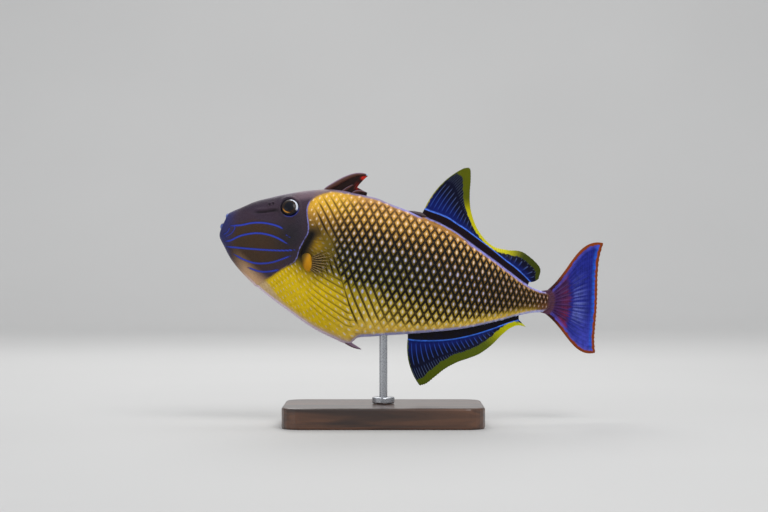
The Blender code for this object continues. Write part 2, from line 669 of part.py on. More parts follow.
def first_dorsal_web():
    """The brown web behind the locking spine, with the second and third spine as its ridges."""
    outline = ((61.0, 28.0), (62.8, 32.6), (67.4, 36.6), (73.1, 41.0), (79.0, 44.2), (84.0, 45.2), (87.6, 45.2),
               (87.2, 43.2), (83.8, 42.2), (80.4, 40.0), (79.2, 37.9), (83.0, 36.9), (88.8, 34.7), (88.2, 29.0))
    web = side_view_block("first_dorsal_web", outline, 0.4 * MM)
    helpers.objects.unlink(web)
    fish_parts.objects.link(web)
    web.hide_render = False
    web.display_type = "TEXTURED"
    web.data.materials.append(SPINE_BROWN)
    bpy.context.view_layer.update()
    second = ((70.0, 29.0), (73.6, 33.4), (76.8, 36.4), (80.0, 38.9))
    third = ((77.0, 29.5), (80.5, 33.6), (84.4, 34.9), (88.0, 34.4))
    ridges = [
        tube(name, [(x * MM, 0.0, z * MM) for x, z in line], [r * MM for r in (1.1, 1.0, 0.8, 0.5)], 1)
        for name, line in (("second_spine", second), ("third_spine", third))
    ]
    return fuse(web, ridges)


def pelvic_spine():
    """The short rough spine that stands in for pelvic fins at the end of the belly flap."""
    places = [(84.5 * MM, 0.0, -57.4 * MM), (89.0 * MM, 0.0, -59.6 * MM), (94.0 * MM, 0.0, -61.4 * MM),
              (98.4 * MM, 0.0, -62.6 * MM)]
    spine = tube("pelvic_spine", places, [r * MM for r in (1.2, 1.3, 1.1, 0.5)], 2, fish_parts)
    spine.data.materials.append(SPINE_BROWN)
    return spine


def stand_cylinder(name, radius, low, high, material, collection=fish_parts, sides=28):
    bpy.ops.mesh.primitive_cylinder_add(vertices=sides, radius=radius, depth=high - low)
    mesh = bpy.context.active_object.data
    bpy.data.objects.remove(bpy.context.active_object)
    part = new_object(name, mesh, material, collection, None)
    part.location = (0.0, 0.0, (low + high) / 2)
    return part


def stand_base():
    """A low block of wood with rounded corners, bored for the rod."""
    bpy.ops.mesh.primitive_cube_add(size=1.0)
    mesh = bpy.context.active_object.data
    bpy.data.objects.remove(bpy.context.active_object)
    mesh.transform(Matrix.Diagonal((*BASE_SIZE, 1.0)))
    base = new_object("stand_base", mesh, BASE_WOOD, fish_parts, None)
    base.location = (0.0, 0.0, BASE_SIZE[2] / 2)
    corners = base.modifiers.new("corners", "BEVEL")
    corners.limit_method = "WEIGHT"
    corners.width = 12.0 * MM
    corners.segments = 6
    weights = mesh.attributes.new("bevel_weight_edge", "FLOAT", "EDGE")
    for edge in mesh.edges:
        ends = [mesh.vertices[spot].co for spot in edge.vertices]
        weights.data[edge.index].value = 1.0 if abs(ends[0].z - ends[1].z) > 1e-5 else 0.0
    rounding = base.modifiers.new("edge", "BEVEL")
    rounding.limit_method = "ANGLE"
    rounding.angle_limit = math.radians(50)
    rounding.width = 1.2 * MM
    rounding.segments = 2
    applied(base)
    bore = stand_cylinder("base_bore", ROD_RADIUS + GAP, BASE_BORE_BOTTOM - GAP, 30 * MM, None, helpers)
    return cut(base, bore)


def stand_collar():
    """A turned metal ring round the foot of the rod."""
    low = BASE_SIZE[2] + GAP
    collar = stand_cylinder("stand_collar", COLLAR_RADIUS, low, low + COLLAR_HEIGHT, ROD_STEEL)
    edge = collar.modifiers.new("edge", "BEVEL")
    edge.limit_method = "ANGLE"
    edge.width = 0.8 * MM
    edge.segments = 2
    applied(collar)
    return cut(collar, stand_cylinder("collar_bore", ROD_RADIUS + GAP, 0.0, 40 * MM, None, helpers))


def build():
    belly = body_point(np.array(ROD_SECTION), np.array(-math.pi / 2))
    belly_height = (fish_pose.rotation_euler.to_matrix() @ Vector(belly)).z + SNOUT_HEIGHT
    rod_top = belly_height + ROD_SOCKET_DEPTH
    rod_hole = stand_cylinder(
        "rod_hole", ROD_RADIUS + GAP, belly_height - 20 * MM, rod_top + GAP, None, helpers)
    stand_base()
    stand_collar()
    stand_cylinder("stand_rod", ROD_RADIUS, BASE_BORE_BOTTOM, rod_top, ROD_STEEL)

    sockets = [
        eye_ball(f"eye_socket_{side}", side, EYE_RADIUS + GAP, EYE_DEPTH + GAP, None, helpers)
        for side in (1, -1)
    ]
    roots = [pectoral_lobe(f"pectoral_root_{side}", side, GAP, helpers) for side in (1, -1)]
    make_head(head_block("ahead_of_gills", 0.0), sockets)
    make_trunk(head_block("head_side", GILL_GAP / MM), rod_hole, roots)
    flesh("tail_stalk", TAIL_CUT_SECTION + TAIL_GAP_SECTIONS, RING_STOPS[-1], FLANK_YELLOW)
    for side, word in ((1, "left"), (-1, "right")):
        eye_ball(f"eye_{word}", side, EYE_RADIUS, EYE_DEPTH, EYE_DARK, fish_parts)
        pectoral_lobe(f"pectoral_base_{word}", side)
        fan = pectoral_fan(f"pectoral_fin_{word}", side)
        cut(fan, pectoral_lobe(f"pectoral_clearance_{side}", side, GAP, helpers))
    whole = flesh("whole_body", RING_STOPS[0], RING_STOPS[-1], None, helpers, GAP)
    web = cut(first_dorsal_web(), whole)
    cut(web, first_dorsal_spine("spine_clearance", GAP, helpers))
    for fin in (first_dorsal_spine(), second_dorsal(), anal(), caudal(), pelvic_spine()):
        cut(fin, whole)


if __name__ == "__main__":
    build()
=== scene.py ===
import math

import bpy
import numpy as np
from mathutils import Matrix, Vector


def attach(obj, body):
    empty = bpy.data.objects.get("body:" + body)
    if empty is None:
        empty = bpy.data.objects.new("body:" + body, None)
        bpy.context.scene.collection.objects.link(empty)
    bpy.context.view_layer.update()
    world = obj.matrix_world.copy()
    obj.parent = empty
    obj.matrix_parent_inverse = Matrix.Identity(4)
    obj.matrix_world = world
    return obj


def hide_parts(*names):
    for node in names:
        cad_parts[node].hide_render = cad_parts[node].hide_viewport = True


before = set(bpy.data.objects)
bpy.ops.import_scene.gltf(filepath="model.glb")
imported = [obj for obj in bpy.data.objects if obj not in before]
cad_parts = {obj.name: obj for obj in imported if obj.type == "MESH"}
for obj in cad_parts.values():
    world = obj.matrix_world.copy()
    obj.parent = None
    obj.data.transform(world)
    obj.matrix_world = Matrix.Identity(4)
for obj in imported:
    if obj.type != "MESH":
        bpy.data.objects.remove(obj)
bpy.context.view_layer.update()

# Skin. On the fish it is one tough hide from the lips to the root of the tail, with the cheek lines,
# nostrils and eye rim let into it. The model's skin is cast in resin in one skin and painted.
# It is a ball drawn out along the body's sections, and it lies half a millimetre under the scales.
SECTIONS = (  # the back's x and z, the belly's x and z, and half the width, in mm
    (7.6, 4.4, 7.6, 4.4, 0.0), (6.1, 7.4, 4.8, 1.6, 3.1), (4.9, 9.7, 1.6, -1.2, 4.9),
    (6.7, 11.3, 1.2, -5.4, 6.5), (12.5, 14.8, 4.8, -11.0, 8.2), (20.5, 19.6, 10.8, -19.0, 10.6),
    (30.0, 23.5, 20.5, -27.6, 13.0), (41.0, 27.5, 33.5, -36.7, 15.2), (53.0, 31.1, 48.5, -45.0, 17.3),
    (66.0, 33.5, 65.0, -53.5, 18.6), (79.0, 33.6, 79.5, -58.6, 18.8), (89.0, 33.1, 90.0, -60.9, 18.4),
    (95.0, 32.5, 95.4, -56.2, 18.1), (104.0, 30.1, 104.0, -54.2, 17.4), (116.3, 27.2, 117.0, -51.4, 16.2),
    (129.5, 23.0, 130.0, -48.7, 14.4), (142.7, 18.4, 143.0, -45.8, 12.5), (156.1, 12.7, 156.0, -42.6, 10.5),
    (169.8, 5.8, 169.5, -38.2, 8.6), (183.6, -1.7, 183.0, -33.0, 6.8), (194.0, -7.2, 193.8, -28.5, 5.6),
    (203.0, -10.1, 202.5, -25.8, 4.8), (209.0, -10.8, 208.5, -24.6, 4.0), (212.6, -13.2, 212.3, -21.9, 2.6),
    (214.2, -17.6, 214.2, -17.6, 0.0),
)
WIDEST_SHARE = 0.48
FULLNESS_AT = (0, 4, 7, 9, 11, 13, 17, 24)
FULLNESS_ABOVE = (0.90, 0.75, 0.72, 0.85, 0.95, 1.0, 0.95, 0.9)
FULLNESS_BELOW = (0.90, 0.90, 1.00, 1.20, 1.45, 1.15, 1.0, 0.9)
SCALE_DEPTH = 0.5
TAIL_SWINGS_FROM = 135.0
SWING_RADIUS = 240.0
NOSE_UP = math.radians(8.0)
SNOUT_X, SNOUT_Z = -102.4, 122.5


def smooth_through(knots, values, at):
    """A smooth curve through values at knots, read at any place between them."""
    knots = np.asarray(knots, float)
    values = np.asarray(values, float)
    at = np.clip(np.asarray(at, float), knots[0], knots[-1])
    steps = np.diff(knots)
    rises = np.diff(values) / steps
    slopes = np.empty(len(knots))
    slopes[0], slopes[-1] = rises[0], rises[-1]
    slopes[1:-1] = (steps[1:] * rises[:-1] + steps[:-1] * rises[1:]) / (steps[1:] + steps[:-1])
    span = np.clip(np.searchsorted(knots, at, side="right") - 1, 0, len(steps) - 1)
    width = steps[span]
    share = (at - knots[span]) / width
    return (
        values[span] * (1 + 2 * share) * (1 - share) ** 2
        + slopes[span] * width * share * (1 - share) ** 2
        + values[span + 1] * share**2 * (3 - 2 * share)
        + slopes[span + 1] * width * share**2 * (share - 1)
    )


def smooth_points(knots, points, at):
    """The same for points: one column for each coordinate."""
    return np.stack([smooth_through(knots, column, at) for column in zip(*points)], axis=-1)


def drawn(line, count):
    """A line of a few points drawn as a smooth one of many."""
    return smooth_points(range(len(line)), line, np.linspace(0, len(line) - 1, count))


def body_point(section, angle):
    """The straight body's skin in mm: angle runs from 90 degrees at the back to -90 at the belly."""
    columns = smooth_points(range(len(SECTIONS)), SECTIONS, section)
    back_x, back_z, belly_x, belly_z, half_width = np.moveaxis(columns, -1, 0)
    middle_x = back_x + WIDEST_SHARE * (belly_x - back_x)
    middle_z = back_z + WIDEST_SHARE * (belly_z - back_z)
    above = smooth_through(FULLNESS_AT, FULLNESS_ABOVE, section)
    below = smooth_through(FULLNESS_AT, FULLNESS_BELOW, section)
    rise, side = np.sin(angle), np.cos(angle)
    edge_x = np.where(rise > 0, back_x - middle_x, middle_x - belly_x)
    edge_z = np.where(rise > 0, back_z - middle_z, middle_z - belly_z)
    spread = np.abs(side) ** np.where(rise > 0, above, below)
    return np.stack(
        [middle_x + rise * edge_x, np.sign(side) * half_width * spread, middle_z + rise * edge_z],
        axis=-1,
    )


def skin_directions(section, angle):
    """The skin's directions along the body and up round it."""
    return (body_point(section + 0.01, angle) - body_point(section - 0.01, angle),
            body_point(section, angle + 0.01) - body_point(section, angle - 0.01))


def standing(points):
    """Places of the straight fish in mm, swung at the tail, tilted and lifted over the stand, in metres."""
    x, y, z = np.moveaxis(np.asarray(points, float), -1, 0)
    turn = np.maximum(x - TAIL_SWINGS_FROM, 0.0) / SWING_RADIUS
    swung = TAIL_SWINGS_FROM + (SWING_RADIUS - y) * np.sin(turn)
    along = np.where(x > TAIL_SWINGS_FROM, swung, x)
    across = SWING_RADIUS - (SWING_RADIUS - y) * np.cos(turn)
    far = SNOUT_X + along * math.cos(NOSE_UP) + z * math.sin(NOSE_UP)
    high = SNOUT_Z - along * math.sin(NOSE_UP) + z * math.cos(NOSE_UP)
    return np.stack([far, across, high], axis=-1) / 1000


def gap_to(line, x, z):
    """Distance in the side view to a line, and how far along the line its nearest place is, 0 to 1."""
    best = np.full(np.shape(x), 1e9)
    where = np.zeros(np.shape(x))
    for number in range(len(line) - 1):
        (ax, az), (bx, bz) = line[number], line[number + 1]
        share = ((x - ax) * (bx - ax) + (z - az) * (bz - az)) / ((bx - ax) ** 2 + (bz - az) ** 2)
        share = np.clip(share, 0, 1)
        gap = np.hypot(x - ax - share * (bx - ax), z - az - share * (bz - az))
        where = np.where(gap < best, (number + share) / (len(line) - 1), where)
        best = np.minimum(best, gap)
    return best, where


def step(value, low, high):
    """0 under low, 1 over high, with a soft rise between."""
    share = np.clip((value - low) / (high - low), 0, 1)
    return share * share * (3 - 2 * share)


def rgb(red, green, blue):
    """A screen colour of 0 to 255 as the linear colour that the shaders take."""
    parts = np.array([red, green, blue]) / 255
    return np.where(parts < 0.04045, parts / 12.92, ((parts + 0.055) / 1.055) ** 2.4)


def washed(colours, *washes):
    """Lays tints over the colours one after another, each a screen colour and its share."""
    for tint, share in washes:
        colours = colours + (rgb(*tint) - colours) * np.asarray(share)[..., None]
    return colours


def bell(gap, width):
    """1 where there is no gap, falling off softly over the width."""
    return np.exp(-((gap / width) ** 2))


def patch(x, z, middle, size):
    """1 in the middle of a soft oval of the side view, falling off over its size."""
    return np.exp(-((x - middle[0]) / size[0]) ** 2 - ((z - middle[1]) / size[1]) ** 2)


def added(operator, **sizes):
    """Adds a primitive with nothing else selected, and gives it back."""
    bpy.ops.object.select_all(action="DESELECT")
    operator(**sizes)
    return bpy.context.active_object


def places_of(piece):
    """The mesh's points as an array."""
    places = np.empty(len(piece.data.vertices) * 3, np.float32)
    piece.data.vertices.foreach_get("co", places)
    return places.reshape(-1, 3).astype(float)


def unit_ball(segments, rings):
    """A ball of radius 1 and its points, to be shaped further."""
    ball = added(bpy.ops.mesh.primitive_uv_sphere_add, segments=segments, ring_count=rings, radius=1.0)
    return ball, places_of(ball)


def moulded(piece, name, points):
    """Moves the mesh to these points of the straight fish in mm, and names the piece."""
    piece.name = name
    piece.data.name = name
    piece.data.uv_layers[0].name = "OFBake"
    piece.data.vertices.foreach_set("co", standing(points).astype(np.float32).ravel())
    piece.data.update()
    piece.data.shade_smooth()
    return piece


def marked(piece, **values):
    """Keeps one number or one colour for each point of the mesh, for its finish to read."""
    for name, value in values.items():
        value = np.asarray(value, np.float32)
        kind, field = ("FLOAT", "value") if value.ndim == 1 else ("FLOAT_VECTOR", "vector")
        layer = piece.data.attributes.new(name, kind, "POINT")
        layer.data.foreach_set(field, value.ravel())
    return piece


def join(tree, socket, value):
    if isinstance(value, bpy.types.NodeSocket):
        tree.links.new(value, socket)
    elif socket.type == "RGBA":
        socket.default_value = (*value, 1.0)
    else:
        socket.default_value = value


def paint(name, roughness, **inputs):
    """A new finish: the material, its node tree and its shader."""
    material = bpy.data.materials.new(name)
    material.use_nodes = True
    shader = material.node_tree.nodes["Principled BSDF"]
    shader.inputs["Roughness"].default_value = roughness
    for socket, value in inputs.items():
        join(material.node_tree, shader.inputs[socket.replace("_", " ")], value)
    return material, material.node_tree, shader


def kept(tree, name, output="Fac"):
    """A number or colour that marked() left on the points."""
    made = tree.nodes.new("ShaderNodeAttribute")
    made.attribute_name = name
    return made.outputs[output]


def mixed(tree, share, first, second, blend="MIX"):
    made = tree.nodes.new("ShaderNodeMix")
    made.data_type = "RGBA"
    made.blend_type = blend
    for spot, value in ((0, share), (6, first), (7, second)):
        join(tree, made.inputs[spot], value)
    return made.outputs[2]


def sums(tree, operation, *values):
    made = tree.nodes.new("ShaderNodeMath")
    made.operation = operation
    for socket, value in zip(made.inputs, values):
        join(tree, socket, value)
    return made.outputs[0]


def ramp(tree, value, low, high, start=0.0, end=1.0):
    """A soft rise from start to end while the value goes from low to high."""
    made = tree.nodes.new("ShaderNodeMapRange")
    made.interpolation_type = "SMOOTHSTEP"
    for socket, number in zip(made.inputs, (value, low, high, start, end)):
        join(tree, socket, number)
    return made.outputs[0]


def laid(tree, base, tint, value, low, high, start=0.0, end=1.0):
    """The base with a screen colour over it that grows while the value goes from low to high."""
    return mixed(tree, ramp(tree, value, low, high, start, end), base, rgb(*tint))


def grain(tree, kind, scale, **inputs):
    """A noise or cell pattern over the piece's own coordinates, scale in features a metre."""
    place = tree.nodes.new("ShaderNodeTexCoord")
    made = tree.nodes.new("ShaderNodeTex" + kind)
    tree.links.new(place.outputs["Object"], made.inputs["Vector"])
    made.inputs["Scale"].default_value = scale
    for socket, value in inputs.items():
        made.inputs[socket].default_value = value
    return made.outputs["Distance" if kind == "Voronoi" else "Fac"]


def finished(tree, shader, base, height=None, depth=0.0):
    """Gives the shader its colour and, where there is one, a bump of this depth in metres."""
    tree.links.new(base, shader.inputs["Base Color"])
    if height is not None:
        made = tree.nodes.new("ShaderNodeBump")
        made.inputs["Distance"].default_value = depth
        join(tree, made.inputs["Height"], height)
        tree.links.new(made.outputs["Normal"], shader.inputs["Normal"])


fine_sections = np.linspace(0, 24, 481)
outline = smooth_points(range(len(SECTIONS)), SECTIONS, fine_sections)


def back_line(x):
    """Height of the body's upper outline over a place along it."""
    return np.interp(x, outline[40:, 0], outline[40:, 1])


def belly_line(x):
    return np.interp(x, outline[60:, 2], outline[60:, 3])


GILL_BORDER = drawn((
    (59.0, 38.0), (55.9, 28.0), (53.7, 20.7), (54.2, 15.5), (55.8, 9.7), (56.3, 4.5), (54.4, -0.7),
    (52.5, -5.9), (51.8, -11.0), (49.6, -15.2), (43.6, -19.4), (38.6, -24.0), (34.5, -27.4),
    (28.5, -32.2), (21.0, -40.0)), 57)
GILL_SLIT = drawn(((58.4, 4.0), (56.8, -0.4), (55.0, -5.0), (54.2, -9.4)), 9)
CHEEK_LINES = (
    ((8.5, 2.6), (14.0, 3.6), (20.0, 5.7), (26.0, 6.8), (32.0, 6.8), (37.0, 6.1), (40.6, 4.8)),
    ((5.2, -7.9), (9.0, -6.6), (14.0, -3.3), (20.0, -1.0), (26.0, 0.2), (32.5, 0.0), (38.5, -1.4),
     (45.6, -4.4)),
    ((5.6, -11.0), (15.0, -10.5), (24.0, -10.0), (33.5, -9.3), (42.5, -8.3), (50.4, -6.8)),
    ((11.6, -14.8), (18.0, -17.2), (25.2, -18.5), (31.5, -17.9), (37.5, -16.1), (43.4, -13.1), (48.0, -10.6)),
    ((21.6, -21.8), (29.0, -23.2), (35.0, -22.5), (42.0, -20.2)),
    ((42.0, 1.8), (44.0, 0.9), (45.8, 0.0)),
)
MOUTH_WRINKLES = (((7.6, 2.4), (10.4, 2.0), (9.0, -2.0), (5.6, -4.6)), ((7.0, 0.6), (6.2, -1.6), (4.0, -3.6)))
PREORBITAL_SLIT = ((19.6, 12.3), (23.5, 13.0), (27.4, 13.8), (31.7, 15.0), (36.4, 16.4))
NOSTRILS = ((29.6, 18.6), (31.8, 19.5))
EYE_AT = (42.4, 18.7)
FADED = ((65, -5), (10, 13))
# The flank's ground from the belly (0) to the back (1): the fish's own tones, with painted light on the
# belly's edge and painted shade across the middle of the flank.
FLANK_HEIGHTS = (0.0, 0.07, 0.24, 0.40, 0.60, 0.74, 0.88, 1.0)
FLANK_SHADES = ((248, 210, 118), (248, 208, 84), (210, 180, 56), (112, 104, 26),
                (86, 76, 21), (154, 114, 40), (222, 164, 66), (206, 148, 76))


def behind_gills(x, z):
    """Distance behind the gill border, less than 0 on the head."""
    edge = np.interp(z, GILL_BORDER[::-1, 1], GILL_BORDER[::-1, 0])
    return gap_to(GILL_BORDER, x, z)[0] * np.sign(x - edge)


def nape(x, z):
    """1 in the mauve wedge that runs from the head back along the nape, 0 elsewhere."""
    height = np.interp(x, (50, 55, 57.6, 61.7, 68, 75), (9.5, 7.2, 4.6, 2.8, 1.4, 0.4))
    return step(height - back_line(x) + z, -0.7, 0.7) * step(80 - x, 0, 4)


def from_lobe(x, z):
    """How far from the middle of the pectoral fin's fleshy lobe, 1 at its rim."""
    return np.hypot((x - 58.6) / 4.2, (z + 13.5) / 6.6)


def bend_edge(z):
    """How far along the fish the scale rows stop bending with the belly's outline."""
    return 84.0 - 0.38 * (z + 30.0)


def plain_front(x, z):
    """1 on the plain yellow front of the belly, 0 elsewhere."""
    return step(100 - x, 0, 22) * step(-18 - z, 0, 8)


def flank_tones(x, z):
    """Ground and spot colour of the flank, the strength of its two families of lines, and the spots' size."""
    over_belly = z - belly_line(x)
    under_back = back_line(x) - z
    up = over_belly / np.maximum(over_belly + under_back, 0.1)
    shades = np.array([rgb(*shade) for shade in FLANK_SHADES])
    ground = np.stack([np.interp(up, FLANK_HEIGHTS, column) for column in shades.T], axis=-1)
    in_front = step(102 - x, 0, 34) * step(0.50 - up, 0, 0.22)
    shoulder = step(92 - x, 0, 24) * step(up, 0.79, 0.90)
    faded = patch(x, z, *FADED)
    toward_rear = step(x, 100, 170) * step(1.0 - up, 0, 0.2) * step(up, 0.07, 0.27)
    ground = washed(
        ground, ((232, 196, 14), in_front), ((240, 186, 58), shoulder), ((112, 92, 18), faded),
        ((206, 160, 10), 0.8 * patch(x, z, (61.5, -1.5), (4, 4.5))),
        ((100, 70, 25), 0.85 * toward_rear), ((112, 70, 36), step(x, 200, 208)))
    spot = washed(
        np.broadcast_to(rgb(188, 190, 226), ground.shape), ((248, 216, 176), step(up, 0.60, 0.82)),
        ((242, 230, 200), step(0.35 - up, 0, 0.2)), ((184, 160, 150), step(x, 158, 188)),
        ((122, 106, 40), 0.85 * np.minimum(1, 1.6 * faded)),
        ((208, 188, 150), in_front * step(94 - x, 0, 14)))
    rim = step(1.8 - under_back, 0, 0.8) * step(x, 64, 76) * step(211 - x, 0, 6)
    rim *= 1 - step(x, 121, 126) * step(158 - x, 0, 6)
    # The cream edge and the pale rim along the belly are partly their own colour and partly painted light,
    # made brighter where the belly faces down into shade.
    low_rim = step(2.4 - over_belly, 0, 0.9) * step(212 - x, 0, 6)
    pale_edge = step(4.8 + 5 * step(48 - x, 0, 16) - over_belly, 0, 2.8)
    on_nape = nape(x, z)
    edges = (
        # dark brown round the gill slit, on the ground and the spots alike: painted shade of the gill opening
        ((48, 34, 12), 0.95 * bell(gap_to(GILL_SLIT, x, z)[0], 5.4)),
        ((212, 184, 150), 0.8 * pale_edge * step(100 - x, 0, 8)), ((126, 104, 110), on_nape),
        ((150, 136, 172), rim), ((164, 164, 240), rim * step(x, 96, 124)),
        ((226, 208, 226), low_rim * step(98 - x, 0, 6)), ((196, 200, 255), low_rim * step(x, 92, 98)))
    ground, spot = washed(ground, *edges), washed(spot, *edges)
    over_vent = step(130 - x, 0, 24)
    fade = step(behind_gills(x, z), 2.5, 8) * (1 - 0.95 * step(faded, 0.25, 0.7))
    fade *= (1 - on_nape) * (1 - rim) * (1 - low_rim) * step(from_lobe(x, z), 1.1, 1.7)
    fade *= step(under_back, 0.6, 3.2 + 6.4 * step(104 - x, 0, 30))
    fade *= step(over_belly, 2.0 + 1.5 * over_vent, 9.0 + 5.0 * over_vent)
    low_front = step(112 - x, 0, 14) * step(-19 - z, 0, 8)
    far_front = step(86 - x, 0, 8) * step(-14 - z, 0, 5)
    sweep = step(bend_edge(z) - x, -1, 1)
    low = step(-15 - z, 0, 8)
    rows = 0.7 * low * step(x, 54, 66) * step(over_belly, 5, 15)
    rising = fade * ((1 - sweep) * (1 - 0.94 * low_front) + sweep * np.maximum(rows, 0.1))
    rising *= 1 - 0.9 * step(77 - x, 0, 11) * step(z, -6, 4)
    falling = fade * ((1 - sweep) * (1 - low_front * step(14 - over_belly, 0, 8)) + sweep * (1 - 0.95 * low))
    brown = 1 - 0.25 * step(up, 0.70, 0.86) * step(150 - x, 0, 40) - 0.15 * step(up, 0.84, 0.97)
    brown -= 0.3 * low_front
    brown -= (0.1 + 0.22 * step(140 - x, 0, 30)) * step(0.34 - up, 0, 0.16) * (1 - low_front)
    brown *= (1 - 0.2 * step(88 - x, 0, 22)) * (1 - 0.15 * step(x, 175, 200))
    size = 0.98 - 0.2 * far_front - 0.14 * shoulder - 0.08 * step(x, 180, 200)
    return ground, spot, rising * brown, falling * brown, size


def skin_colour(x, z):
    over_belly = z - belly_line(x)
    under_back = back_line(x) - z
    head = washed(
        np.broadcast_to(rgb(60, 46, 62), (len(x), 3)),
        ((66, 48, 32), step(1.25 - ((x - 26) / 21) ** 2 - ((z + 7) / 15) ** 2, 0, 0.7)),
        ((34, 31, 37), 0.9 * patch(x, z, (46, 1), (10, 14))),
        ((216, 176, 134), 0.92 * step(13.5 - over_belly, 0, 10.5) * step(x, 9, 24)),
        ((42, 48, 108), 0.9 * step(13 - x, 0, 10)),
        # darker along the top of the head, from the snout to the eye: painted shade against the light from
        # above
        ((44, 30, 50), 0.7 * step(7 - under_back, 0, 5) * step(42 - x, 0, 8) * step(x, 10, 16)),
        ((84, 68, 96), step(1.2 - under_back, 0, 1.0) * step(x, 20, 36)),
        ((112, 92, 104), step(x, 38, 50) * step(7.5 - under_back, 0, 4)),
        # pale rim along the lower edge of the head: partly its own colour, partly painted light on the
        # downward-facing edge
        ((226, 208, 226), 0.8 * step(2.4 - over_belly, 0, 0.9) * step(x, 16, 30)))
    ground, _, rising, falling, _ = flank_tones(x, z)
    trunk = washed(
        ground * (0.86 + 0.14 * plain_front(x, z))[:, None], ((10, 8, 8), np.maximum(rising, falling)),
        # near-black along the gill slit's groove: painted shade
        ((12, 8, 8), bell(gap_to(GILL_SLIT, x, z)[0], 2.6)), ((82, 50, 74), step(x, 209, 213)))
    blend = 0.25 + 3.5 * step(-25 - z, 0, 7)
    on_trunk = step(behind_gills(x, z) / blend, -1, 1)[:, None]
    return head * (1 - on_trunk) + trunk * on_trunk


SPOKES, RINGS = 224, 400
ball, unit = unit_ball(SPOKES, RINGS)
ring = np.rint(np.arccos(np.clip(unit[:, 2], -1, 1)) / math.pi * RINGS).astype(int)
spoke = np.rint(np.arctan2(unit[:, 1], unit[:, 0]) / math.tau * SPOKES).astype(int) % SPOKES
ring_section = np.interp(
    np.arange(RINGS + 1) / RINGS, (0, 0.10, 0.36, 0.44, 0.94, 1.0), (0, 3.2, 7.9, 9.0, 23.2, 24.0))
all_round = np.linspace(0, math.tau, 721)
crowding = 0.45 + 0.55 * np.hypot(
    45 * np.cos(all_round - math.pi / 2), 18 * np.sin(all_round - math.pi / 2)) / 34
travelled = np.concatenate([[0], np.cumsum((crowding[1:] + crowding[:-1]) / 2)])
spoke_angle = np.interp(np.arange(SPOKES) / SPOKES * travelled[-1], travelled, all_round) - math.pi / 2
section, angle = (grid.ravel() for grid in np.meshgrid(ring_section, spoke_angle, indexing="ij"))
nominal = body_point(section, angle)
outward = np.cross(*skin_directions(section, angle))
outward /= np.maximum(np.linalg.norm(outward, axis=1, keepdims=True), 1e-9)
spine_line = body_point(section, np.zeros(len(section))) * (1, 0, 1)
facing = np.sign(((nominal - spine_line) * outward).sum(axis=1))
outward *= np.where(facing == 0, 1, facing)[:, None]
x, z = nominal[:, 0], nominal[:, 2]
behind = behind_gills(x, z)
relief = -0.05 - (SCALE_DEPTH - 0.05) * step(behind, -0.1, 0.5) * step(213 - x, 0, 3) * (1 - nape(x, z))
cheek_gap = np.full(len(x), 99.0)
for line in CHEEK_LINES:
    gap, where = gap_to(drawn(line, 20), x, z)
    taper = np.minimum(step(where, 0, 0.10), step(1 - where, 0, 0.10))
    faint = 0.3 if len(line) == 3 else 0.0
    cheek_gap = np.minimum(cheek_gap, gap + 0.35 * (1 - taper) + faint)
for line in MOUTH_WRINKLES:
    cheek_gap = np.minimum(cheek_gap, gap_to(drawn(line, 12), x, z)[0] + 0.28)
slit_gap, slit_share = gap_to(drawn(PREORBITAL_SLIT, 16), x, z)
slit_depth = step(slit_share, 0, 0.3) * step(1 - slit_share, 0, 0.2)
nostril_gaps = [np.hypot(x - at_x, z - at_z) for at_x, at_z in NOSTRILS]
eye_gap = np.hypot(x - EYE_AT[0], z - EYE_AT[1])
relief -= 0.35 * bell(cheek_gap, 0.6)
relief -= 0.8 * slit_depth * bell(slit_gap, 0.6)
relief += 0.35 * slit_depth * bell(slit_gap - 1.6, 0.9)
relief -= 1.1 * bell(gap_to(GILL_SLIT, x, z)[0], 0.8)
relief += 0.25 * bell(behind + 0.7, 0.8) * step(29 - z, 0, 5)
for gap in nostril_gaps:
    relief += 0.35 * bell(gap - 0.95, 0.4) - 1.2 * bell(gap, 0.5)
relief += 0.45 * bell(eye_gap - 6.3, 0.8) - 2.6 * step(5.7 - eye_gap, 0, 1.0)
skin_points = nominal + outward * relief[:, None]
spots = ring * SPOKES + spoke
skin = moulded(ball, "skin", skin_points[spots])
eye_rim = step(6.4 - eye_gap, 0, 1.0)
below_eye = 0.6 * (x - EYE_AT[0]) - (z - EYE_AT[1])
colours = washed(
    skin_colour(x, z), ((30, 26, 40), 0.7 * eye_rim),
    ((56, 72, 184), eye_rim * step(below_eye, 2.0, 5.0) * step(x - EYE_AT[0], -5, 0)),
    ((34, 26, 36), 0.7 * patch(x, z, (34.6, 15.6), (3.4, 1.5))),
    # near-black in the preorbital slit, the nostrils and the mouth: painted shade in these hollows
    ((20, 16, 22), 0.85 * slit_depth * bell(slit_gap, 0.7)),
    *(((20, 16, 22), 0.9 * bell(gap, 0.6)) for gap in nostril_gaps),
    ((18, 14, 20), step(2.0 - section, 0, 0.5)))
gill_gap = np.abs(behind + 0.3) + 0.6 * step(z, 22, 28) + 0.2 * step(-14 - z, 0, 6) + 0.8 * step(40 - x, 0, 6)
marked(skin, tone=colours[spots], cheek_gap=cheek_gap[spots], gill_gap=gill_gap[spots])
skin_paint, tree, shader = paint("skin_paint", 0.46, Specular_IOR_Level=0.2)
mottle = grain(tree, "Noise", 160.0, Detail=3.0, Roughness=0.5)
mottle = ramp(tree, mottle, 0.3, 0.75, 0.0, 0.5)
base = mixed(tree, mottle, kept(tree, "tone", "Color"), rgb(200, 180, 170), "SOFT_LIGHT")
fine_scales = grain(tree, "Voronoi", 1300.0, Randomness=0.6)
base = laid(tree, base, (0, 0, 0), fine_scales, 0.35, 0.75, 0.0, 0.16)
cheek_gap = kept(tree, "cheek_gap")
base = laid(tree, base, (30, 30, 84), cheek_gap, 0.6, 1.0, 0.45, 0.0)
